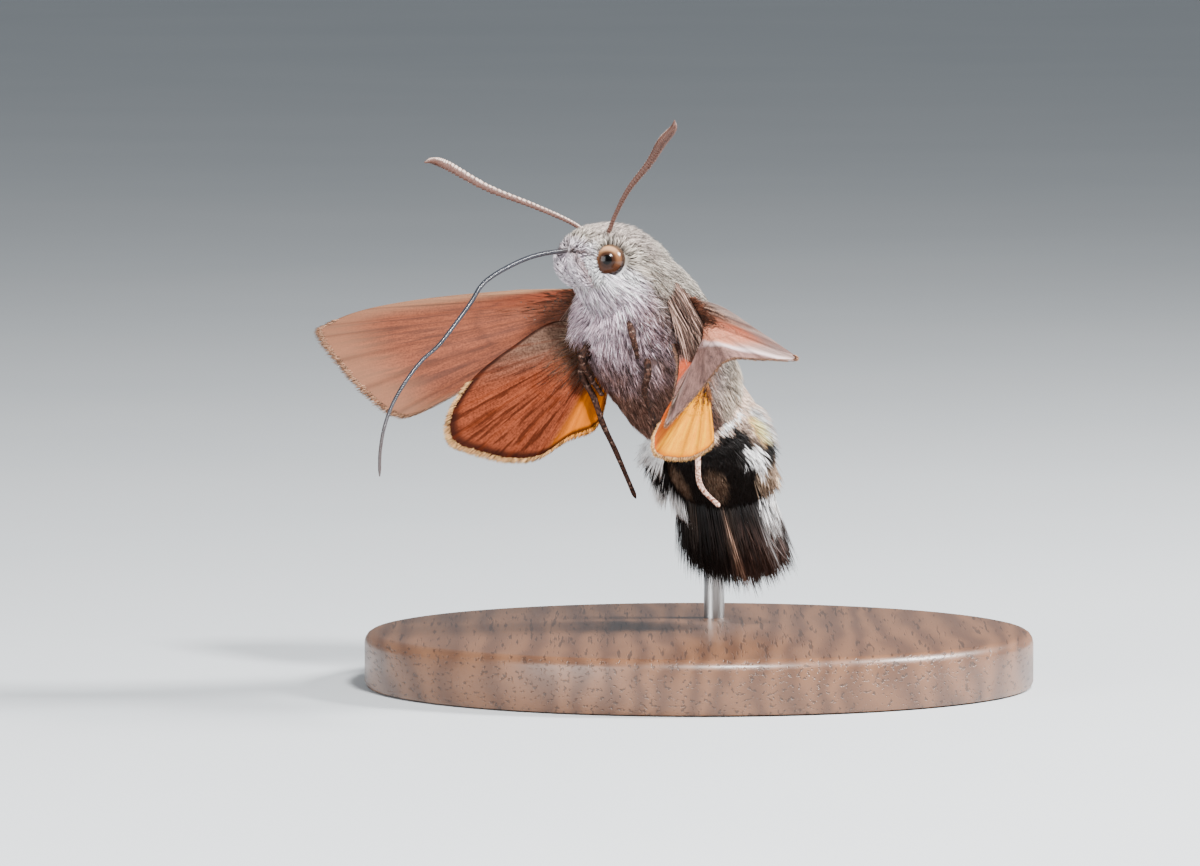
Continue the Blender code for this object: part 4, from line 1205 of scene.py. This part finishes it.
# A wing's margin; its root, span and chord in the body's axes; where its hinge ends, from the
# root; how far its middle is cupped; and 1 where its under side faces along span x chord, or -1
Wing = namedtuple("Wing", "margin root span chord hinge_end cup under")
WINGS = {
    "forewing_left": Wing(FOREWING_TWISTED, (3.5, 3.6, 1.9), (0.242, 0.914, -0.325),
                          (-0.019, -0.334, -0.943), (0.3, 0.9, 4.6), 0.0, -1.0),
    "forewing_right": Wing(FOREWING, (3.2, -3.95, 2.1), (0.225, -0.895, -0.375),
                           (-0.024, 0.38, -0.92), (0.2, 0.9, -1.4), 1.2, 1.0),
    "hindwing_left": Wing(HINDWING_FOLDED, (-1.9, 4.0, -0.9), (0.428, 0.454, -0.779),
                          (-0.854, 0.494, -0.186), (0.0, 0.3, 0.0), 0.0, -1.0),
    "hindwing_right": Wing(HINDWING, (2.7, -3.4, -1.05), (0.243, -0.256, -0.935),
                           (-0.9, 0.27, -0.31), (0.0, 2.4, 0.0), 0.6, 1.0),
}


def wing_axes(wing):
    """The wing's own axes, as rows, in the body's axes."""
    span = unit(np.array(wing.span))
    chord = np.array(wing.chord)
    chord = unit(chord - span * (chord @ span))
    return np.stack([span, chord, np.cross(span, chord)])


def wing_place(wing, share, out, lift=0.0):
    """A place on a wing: hinge + (margin - hinge) out, raised by the cup over its middle rays,
    by lift, and by soft pleats between the veins."""
    margin = along_line(wing.margin, share)
    hinge = np.array(wing.hinge_end) * share[..., None]
    place = hinge + (margin - hinge) * out[..., None]
    first, last = CUP_RAYS
    cup = np.sin(np.pi * np.clip((share - first) / (last - first), 0, 1))
    pleat = PLEAT * np.sin(share * 2 * np.pi * PLEATS) * blend(out, 0.1, 0.5)
    place[..., 2] += wing.cup * cup * out**1.5 + pleat * blend(out, 1.02, 0.85) + lift
    return np.array(wing.root) + place @ wing_axes(wing)


def vein_height(share, out):
    """Veins as narrow ridges along the rays, beyond the cell that closes near the middle."""
    height = np.zeros_like(share)
    for k, ray in enumerate(WING_VEINS):
        begin = 0.42 if 2 <= k <= 9 and k % 3 else 0.03
        height = np.maximum(height, bump(share, ray, 0.006) * blend(out, begin, begin + 0.06))
    cross = bump(out, 0.44 + 0.03 * np.cos(share * 12), 0.012) * blend(share, 0.15, 0.18)
    return np.maximum(height, cross * blend(share, 0.62, 0.58))


# The twisted wing's ridge: where it lies on each ray, as share and out
RIDGE = [(0.0, 1.4), (0.33, 1.07), (0.375, 0.91), (0.417, 0.77), (0.46, 0.67), (0.5, 0.55),
         (0.54, 0.39), (0.585, 0.26), (0.625, 0.16), (0.667, 0.11), (1.0, 0.05)]


def build_wing(name, wing, look):
    """A thin wing: an upper and a lower face a tenth of a millimetre apart, veins on both.

    It carries its own coordinates: share from the front edge to the inner margin, out from the
    hinge to the outer margin, and for the twisted wing how far beyond its ridge a place is."""
    out = np.linspace(0.0, WING_EDGE, WING_ROWS)[:, None]
    share, out = np.broadcast_arrays(np.linspace(0.0, 1.0, WING_RAYS)[None], out)
    vein = vein_height(share, out)
    half = HALF_THICKNESS + VEIN_HEIGHT * vein * blend(out, 1.0, 0.9)
    half = half * np.sqrt(np.clip(np.minimum(share, 1 - share) / 0.006, 0.15, 1))
    half = half * (0.35 + 0.65 * blend(out, 0.99, 0.9))
    places, quads = closed_sheet(wing_place(wing, share, out, half),
                                 wing_place(wing, share, out, -half))
    ridge = np.interp(share, *np.array(RIDGE).T)
    beyond = out - ridge if wing.margin is FOREWING_TWISTED else share * 0 - 1.0
    numbers = {key: np.tile(values.ravel(), 2) for key, values in
               (("share", share), ("out", out), ("vein", vein), ("beyond", beyond))}
    numbers["under"] = np.repeat([1.0, 0.0] if wing.under > 0 else [0.0, 1.0], share.size)
    piece = make_piece(name + "_membrane", from_body(places), (quads,), look, numbers=numbers)
    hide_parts(name)


def wing_frame(wing, share, out):
    """Place, outward along the ray, and the wing's face direction."""
    here = wing_place(wing, share, out)
    ray = unit(wing_place(wing, share, out + 0.01) - wing_place(wing, share, out - 0.01))
    beside = unit(wing_place(wing, share + 0.004, out) - wing_place(wing, share - 0.004, out))
    return here, ray, unit(np.cross(ray, beside))


# Fringes: first ray, tints in front and at the rear. Hairs over the base: how far they spread,
# tints below, above and at the front edge
WING_HAIR = {
    "forewing": (0.3, tint(150, 110, 84), tint(132, 100, 82),
                 0.11, tint(92, 54, 38), tint(104, 88, 78), tint(92, 54, 38)),
    "hindwing": (0.26, tint(214, 160, 104), tint(214, 134, 44),
                 0.15, tint(74, 52, 40), tint(150, 92, 48), tint(118, 94, 78)),
}


def build_wing_hair(name, wing, coat, seed):
    """A fringe of fine hairs along the outer margin, and longer hairs over the wing's base."""
    draw = np.random.default_rng(seed)
    first, front, rear, spread, below, above, edge = WING_HAIR[name.split("_")[0]]
    count = FRINGE_HAIRS
    share = draw.uniform(first, 0.97, count)
    out = 0.972 + draw.normal(0, 0.004, count)
    here, ray, face = wing_frame(wing, share, out)
    flip = np.where(draw.random(count) < 0.5, 1.0, -1.0)[:, None]
    colours = mixed(front, rear, blend(share, 0.66, 0.78))
    lie = unit(ray + draw.normal(0, 0.06, (count, 3)))
    make_coat(name + "_fringe", here, lie, face * flip, 0.5, 0.05, 0.02, colours,
              np.stack([share * 0.9, out * 0.9], -1), coat, seed + 1, curl=0.06, root_shade=0.7)
    count = WING_BASE_HAIRS
    share = draw.uniform(0.02, 0.98, count)
    out = np.abs(draw.normal(0.02, spread, count)) + 0.01
    here, ray, face = wing_frame(wing, share, out)
    under = (draw.random(count) < 0.5)[:, None]
    side = np.where(under, wing.under, -wing.under)
    colours = mixed(np.where(under, below, above), edge, blend(share, 0.3, 0.12))
    long = 1.5 * blend(out, 0.6, 0.1) + 0.6
    make_coat(name + "_base_hair", here, ray, face * side, long, 0.07, 0.14, colours,
              np.stack([share * 0.9, out * 0.9], -1), coat, seed + 2, curl=0.12, uneven=0.28)


def wing_streaks(look, share, out):
    """Scales in lines along the rays: fine ones, broad ones, and a speckle."""
    fine = look.noise(look.vector(share * 210.0, out * 9.0, 0.0), 1.0, 3.0, 0.65)
    broad = look.noise(look.vector(share * 44.0, out * 2.2, 3.0), 1.0, 3.0, 0.6)
    speckle = look.noise(look.place(), 7000.0, 2.0)
    return fine * 0.55 + speckle * 0.45, broad


def forewing_look():
    """Below brick brown with a paler front and, on the twisted wing, a streaked front edge, an
    orange patch, a painted highlight along its ridge and a mauve panel beyond it; above grey brown with
    dark lines."""
    look = Look("forewing_scales", 0.75, Specular_IOR_Level=0.25)
    share, out = look.number("share"), look.number("out")
    under, vein, beyond = look.number("under"), look.number("vein"), look.number("beyond")
    fine, broad = wing_streaks(look, share, out)
    near = beyond.rise(-0.99, -0.98)
    brick = look.mix(tint(78, 38, 24), tint(124, 66, 42), fine.rise(0.3, 0.7))
    brick = look.mix(brick, tint(58, 32, 24), broad.rise(0.48, 0.62) * 0.6)
    brick = look.mix(brick, tint(132, 52, 22), share.hump(0.2, 0.2) * out.rise(0.6, 0.25) * 0.6)
    brick = look.mix(brick, tint(60, 40, 32), out.rise(0.26, 0.04) * 0.8)
    haze = (share + (broad - 0.5) * 0.05).rise(0.34, 0.06) * out.rise(0.42, 0.85)
    brick = look.mix(brick, tint(172, 132, 100), haze * 0.8)
    brick = look.mix(brick, tint(122, 84, 62), (out + (broad - 0.5) * 0.1).rise(0.72, 0.97) * 0.7)
    streaks = (fine * 0.5 + broad * 0.5).rise(0.42, 0.54)
    front = look.mix(tint(190, 150, 128), tint(44, 24, 18), streaks)
    front = look.mix(front, tint(150, 130, 122), out.rise(0.45, 0.8) * 0.75)
    brick = look.mix(brick, front, near * (share + (broad - 0.5) * 0.08).rise(0.33, 0.19))
    pink = look.mix(tint(178, 90, 60), tint(236, 166, 134), fine.rise(0.3, 0.7))
    pink = look.mix(pink, tint(172, 146, 138), (out + (broad - 0.5) * 0.2).rise(0.5, 0.78))
    brick = look.mix(brick, pink, near * (share + (broad - 0.5) * 0.08).rise(0.16, 0.3))
    inner = (out + (broad - 0.5) * 0.2).rise(0.2, 0.06).most(share.rise(0.52, 0.62))
    brick = look.mix(brick, tint(84, 58, 50), near * inner * 0.95)
    strands = (fine * 0.7 + broad * 0.3).rise(0.36, 0.62)
    mauve = look.mix(tint(60, 40, 36), tint(150, 112, 102), strands)
    mauve = look.mix(mauve, tint(214, 184, 176), share.hump(0.68, 0.06) * broad.rise(0.42, 0.6) * 0.5)
    line = share.rise(0.8, 0.84) * share.rise(0.93, 0.89) * out.rise(0.45, 0.6)
    mauve = look.mix(mauve, tint(190, 72, 22), line * 0.75)
    brick = look.mix(brick, mauve, (beyond + (broad - 0.5) * 0.1).rise(-0.01, 0.07))
    # Painted highlight: a whitish band along the ridge, where the bent wing faces the light
    pale = (beyond + (broad - 0.5) * 0.05).hump(0.0, 0.11) * share.rise(0.68, 0.52)
    brick = look.mix(brick, tint(222, 198, 198), (pale * (0.35 + fine * 0.8)).least(1.0) * near)
    wave = out + (share * 21.0).sine() * 0.02 + (broad - 0.5) * 0.06
    grey = look.mix(tint(80, 64, 56), tint(136, 116, 104), fine.rise(0.3, 0.7))
    grey = look.mix(grey, tint(40, 28, 24), wave.hump(0.36, 0.035).most(wave.hump(0.66, 0.04)) * 0.8)
    grey = look.mix(grey, tint(70, 54, 46), wave.rise(0.36, 0.3) * 0.5)
    grey = look.mix(grey, tint(166, 152, 144), wave.rise(0.86, 0.97) * 0.6)
    colour = look.mix(grey, brick, under)
    look.paint(look.mix(colour, tint(52, 28, 20), vein * 0.4))
    look.relief(fine, 0.03)
    return look.material


def hindwing_look():
    """Below brick with a brown front and an amber inner part; above gold, brick at the front, with a
    painted highlight of paler yellow near the inner base, and a painted glow, by emission, that stands in
    for the light that comes through the thin wing."""
    look = Look("hindwing_scales", 0.7, Specular_IOR_Level=0.0, Emission_Strength=0.12)
    share, out = look.number("share"), look.number("out")
    under, vein = look.number("under"), look.number("vein")
    fine, broad = wing_streaks(look, share, out)
    brick = look.mix(tint(74, 34, 22), tint(134, 68, 44), fine.rise(0.3, 0.7))
    brick = look.mix(brick, tint(50, 18, 10), broad.rise(0.48, 0.6) * 0.75)
    brick = look.mix(brick, tint(196, 104, 4), (share + (broad - 0.5) * 0.05).rise(0.66, 0.76) * 0.95)
    brown = look.mix(tint(60, 44, 36), tint(116, 90, 76), fine.rise(0.3, 0.7))
    front = (share + (broad - 0.5) * 0.08 - (1.0 - out) * 0.12).rise(0.3, 0.12)
    brick = look.mix(brick, brown, front * 0.95)
    brick = look.mix(brick, tint(78, 54, 42), (out + (broad - 0.5) * 0.3).rise(0.42, 0.12) * 0.85)
    edge = (out + (fine - 0.5) * 0.04).rise(0.89, 0.95)
    brick = look.mix(brick, tint(34, 16, 12), edge * 0.9)
    gold = look.mix(tint(206, 118, 0), tint(232, 156, 0), fine.rise(0.25, 0.75))
    gold = look.mix(gold, tint(240, 176, 0), broad.rise(0.5, 0.62) * 0.4)
    # Painted highlight: paler yellow over the inner part near the base
    gold = look.mix(gold, tint(255, 200, 20), out.rise(0.66, 0.3) * share.rise(0.6, 0.8) * 0.6)
    red = (share + (broad - 0.5) * 0.1).rise(0.46, 0.36)
    # Painted light: the gold upper side glows a little by emission, for light through the thin wing
    painted_glow = look.scaled(gold, (1.0 - under) * (1.0 - red))
    gold = look.mix(gold, tint(98, 36, 20), red * 0.92)
    gold = look.mix(gold, tint(150, 62, 24), (out + (fine - 0.5) * 0.1).rise(0.9, 0.98) * 0.8)
    colour = look.mix(gold, brick, under)
    look.paint(look.mix(colour, tint(84, 30, 8), vein * 0.3), painted_glow=painted_glow)
    look.relief(fine, 0.03)
    return look.material


# Legs

LEG_RADIUS, LEG_NARROWS, LEG_SWELLING = 0.28, 0.12, 0.05
LEG_ROWS, LEG_AROUND = 150, 14
PALE_LEG = "hindleg_left"


def build_legs(look):
    """Legs that narrow to a rounded end and swell a little at each joint."""
    for name, (on_chest, free) in LEGS.items():
        share = np.linspace(0, 1, LEG_ROWS)
        bends = len(on_chest) + len(free) - 1
        radii = LEG_RADIUS - LEG_NARROWS * share
        radii = radii * (1 + LEG_SWELLING * np.cos(share * 2 * np.pi * bends))
        radii = radii * np.sqrt(np.clip((1 - share) / 0.02, 0.05, 1))
        rings = carried(leg_line(on_chest, free, share), radii, LEG_AROUND, up=(0.1, 0.2, 1.0))
        points, quads, threes = closed_rings(rings)
        numbers = {"far": on_rings(share[:, None], rings),
                   "pale": np.full(len(points), float(name == PALE_LEG))}
        piece = make_piece(name + "_joints", from_body(points), (quads, threes), look,
                           numbers=numbers)
        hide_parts(name)


def leg_look():
    """Dark brown scales with pale flecks along the leg. One leg is pale throughout."""
    look = Look("leg_scales", 0.7, Specular_IOR_Level=0.12)
    far = look.number("far")
    pale = look.number("pale")
    grain = look.noise(look.place(), 5200.0, 3.0)
    dark = look.mix(tint(26, 15, 12), tint(74, 48, 38), grain.rise(0.35, 0.75))
    light = look.mix(tint(118, 72, 56), tint(226, 190, 172), grain.rise(0.4, 0.6))
    flecks = (far * 60.0 + grain * 3.0).sine().rise(0.7, 1.0) * grain.rise(0.45, 0.6)
    look.paint(look.mix(dark, light, (flecks * 0.15).most(pale * 0.9)))
    look.relief(grain, 0.04)
    return look.material


# Stand

# The base's profile as radius and height, from the foot to the top, and the rod's line, whose
# last share lies inside the body and is left out. World millimetres
BASE_PROFILE = np.array([(23.4, 0.0), (23.85, 0.12), (24.0, 0.45), (24.0, 3.2), (23.94, 3.5),
                         (23.77, 3.77), (23.5, 3.94), (23.2, 4.0)])
BASE_AROUND = 160
ROD_RADIUS = 0.75
ROD_END = 0.93
ROD_ROWS, ROD_AROUND = 90, 40
ROD_LINE = [(1.2, 10.5, 1.5), (1.2, 10.5, 5.0), (1.2, 10.5, 9.0), (1.2, 10.45, 12.6),
            (1.2, 9.3, 15.7), (1.2, 6.4, 17.0), (1.2, 3.0, 17.4)]


def base_look():
    """Dark walnut: rings cut lengthwise, with pores along the grain."""
    look = Look("walnut", 0.38, Coat_Weight=0.25, Coat_Roughness=0.25)
    place = look.place()
    spread = look.stretched(place, (1.0, 0.16, 1.0))
    bend = look.noise(spread, 130.0, 3.0)
    parts = look.node("SeparateXYZ", None, (spread,))
    wave = Number(look, parts[0]) * 2600.0 + bend * 22.0
    rings = wave.sine() * 0.5 + 0.5
    pores = look.noise(look.stretched(place, (1.0, 0.05, 1.0)), 3600.0, 2.0)
    wood = look.mix(tint(74, 48, 34), tint(112, 76, 52), rings * 0.7 + bend * 0.3)
    wood = look.mix(wood, tint(44, 28, 20), pores.rise(0.58, 0.68) * 0.7)
    look.paint(wood, roughness=0.34 + pores * 0.16)
    look.relief(pores.rise(0.66, 0.56), 0.03)
    return look.material


def rod_look():
    """Steel brushed along its length."""
    look = Look("brushed_rod", 0.3, Metallic=1.0)
    fine = look.noise(look.stretched(look.place(), (1.0, 1.0, 0.06)), 9000.0, 2.0)
    look.paint(look.mix(tint(150, 150, 150), tint(196, 196, 196), fine), roughness=0.24 + fine * 0.2)
    look.relief(fine, 0.008)
    return look.material


def build_stand(wood, steel):
    """A turned base, its profile carried round, and the bent rod."""
    radius, height = BASE_PROFILE.T[..., None]
    turn = circle(BASE_AROUND)
    rings = np.broadcast_arrays(radius * np.cos(turn), radius * np.sin(turn), height)
    points, quads, threes = closed_rings(np.stack(rings, -1))
    base = make_piece("stand_base_turned", points * MM, (quads, threes), wood)
    base.data.set_sharp_from_angle(angle=math.radians(40))
    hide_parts("stand_base")
    line = along_line(ROD_LINE, np.linspace(0, ROD_END, ROD_ROWS))
    rings = carried(line, np.full(ROD_ROWS, ROD_RADIUS), ROD_AROUND, up=(1.0, 0.0, 0.0))
    points, quads, threes = closed_rings(rings)
    rod = make_piece("stand_rod_bent", points * MM, (quads, threes), steel)
    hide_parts("stand_rod")


# Surroundings, in metres apart from the widths of the view and the sensor, in millimetres

FLOOR_RADII = np.array((0.01, 0.06, 0.4, 3.0))
FLOOR_AROUND = 96
SKY_COLOUR = (0.86, 0.93, 1.0, 1.0)
SKY_STRENGTH = 0.34

# Lights: name, place, watts, width
LIGHTS = [("key_light", (0.08, -0.3, 0.28), 4.4, 0.06),
          ("rim_light", (0.32, 0.02, 0.24), 5.4, 0.1),
          ("fill_light", (-0.3, -0.3, 0.12), 1.9, 0.25)]
LIT_PLACE = (-0.004, -0.003, 0.02)
CAMERA_TARGET = np.array((-0.0071, -0.003, 0.0184))
CAMERA_AWAY = 0.8
SENSOR_WIDTH = 36.0
VIEW_WIDTH = 85.71


def build_floor():
    """A pale round floor: rings of points about its middle."""
    look = Look("pale_floor", 0.75)
    cloud = look.noise(look.place(), 14.0, 3.0)
    look.paint(look.mix(tint(184, 188, 191), tint(194, 197, 199), cloud))
    turn = circle(FLOOR_AROUND)
    ring = np.stack([np.cos(turn), np.sin(turn), turn * 0], -1)
    places = np.concatenate([(FLOOR_RADII[:, None, None] * ring).reshape(-1, 3), [[0, 0, 0]]])
    at = np.arange(len(places) - 1).reshape(-1, FLOOR_AROUND)
    after = np.roll(at, -1, axis=1)
    quads = np.stack([at[:-1], at[1:], after[1:], after[:-1]], -1).reshape(-1, 4)
    threes = np.stack([at[0], after[0], np.full(FLOOR_AROUND, at.size)], -1)
    mesh = bpy.data.meshes.new("floor")
    mesh.from_pydata(places.tolist(), [], quads.tolist() + threes.tolist())
    mesh.materials.append(look.material)
    floor = bpy.data.objects.new("floor", mesh)
    bpy.context.scene.collection.objects.link(floor)


def build_lights():
    """A soft sky and three soft lights."""
    sky = bpy.data.worlds.new("soft_sky")
    sky.use_nodes = True
    sky.node_tree.nodes["Background"].inputs["Color"].default_value = SKY_COLOUR
    sky.node_tree.nodes["Background"].inputs["Strength"].default_value = SKY_STRENGTH
    bpy.context.scene.world = sky
    for name, place, power, size in LIGHTS:
        light = bpy.data.lights.new(name, "AREA")
        light.energy = power
        light.size = size
        lamp = bpy.data.objects.new(name, light)
        lamp.location = place
        aim(lamp, LIT_PLACE)
        bpy.context.scene.collection.objects.link(lamp)


def build_camera():
    """The camera, far away with a long lens, so that the view's width is as in the photo."""
    camera = bpy.data.cameras.new("camera")
    camera.lens = CAMERA_AWAY / MM * SENSOR_WIDTH / VIEW_WIDTH
    camera.sensor_width = SENSOR_WIDTH
    camera.clip_start = 0.05
    camera.clip_end = 20.0
    holder = bpy.data.objects.new("camera", camera)
    holder.location = CAMERA_TARGET + CAMERA_WAY * CAMERA_AWAY
    aim(holder, CAMERA_TARGET)
    bpy.context.scene.collection.objects.link(holder)
    bpy.context.scene.camera = holder


def aim(thing, target):
    """Turns a lamp or the camera so that it looks at the target."""
    way = np.asarray(target) - np.array(thing.location)
    level = math.hypot(way[0], way[1])
    thing.rotation_euler = (math.atan2(level, -way[2]), 0.0, math.atan2(way[1], way[0]) - math.pi / 2)


COAT_LOOK = coat_look("moth_fur")
SKIN_LOOK = coat_look("moth_skin", 0.8)
WING_LOOKS = {"forewing": forewing_look(), "hindwing": hindwing_look()}

build_floor()
build_lights()
build_camera()
SKIN = build_skin(SKIN_LOOK)
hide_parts("head", "thorax", "abdomen", "tail_fan")
build_head_coat(COAT_LOOK)
build_cheek_hair(COAT_LOOK)
build_thorax_coat(COAT_LOOK)
build_long_hair(COAT_LOOK)
build_shoulder_hair(COAT_LOOK)
build_abdomen_coat(COAT_LOOK)
build_tail(COAT_LOOK)
build_side_tufts(COAT_LOOK)
build_palps(SKIN_LOOK, COAT_LOOK)
build_eyes(eye_look())
build_antennae(antenna_look())
build_proboscis(tongue_look())
for number, (name, wing) in enumerate(WINGS.items()):
    build_wing(name, wing, WING_LOOKS[name.split("_")[0]])
    build_wing_hair(name, wing, COAT_LOOK, 81 + 5 * number)
build_legs(leg_look())
build_stand(base_look(), rod_look())
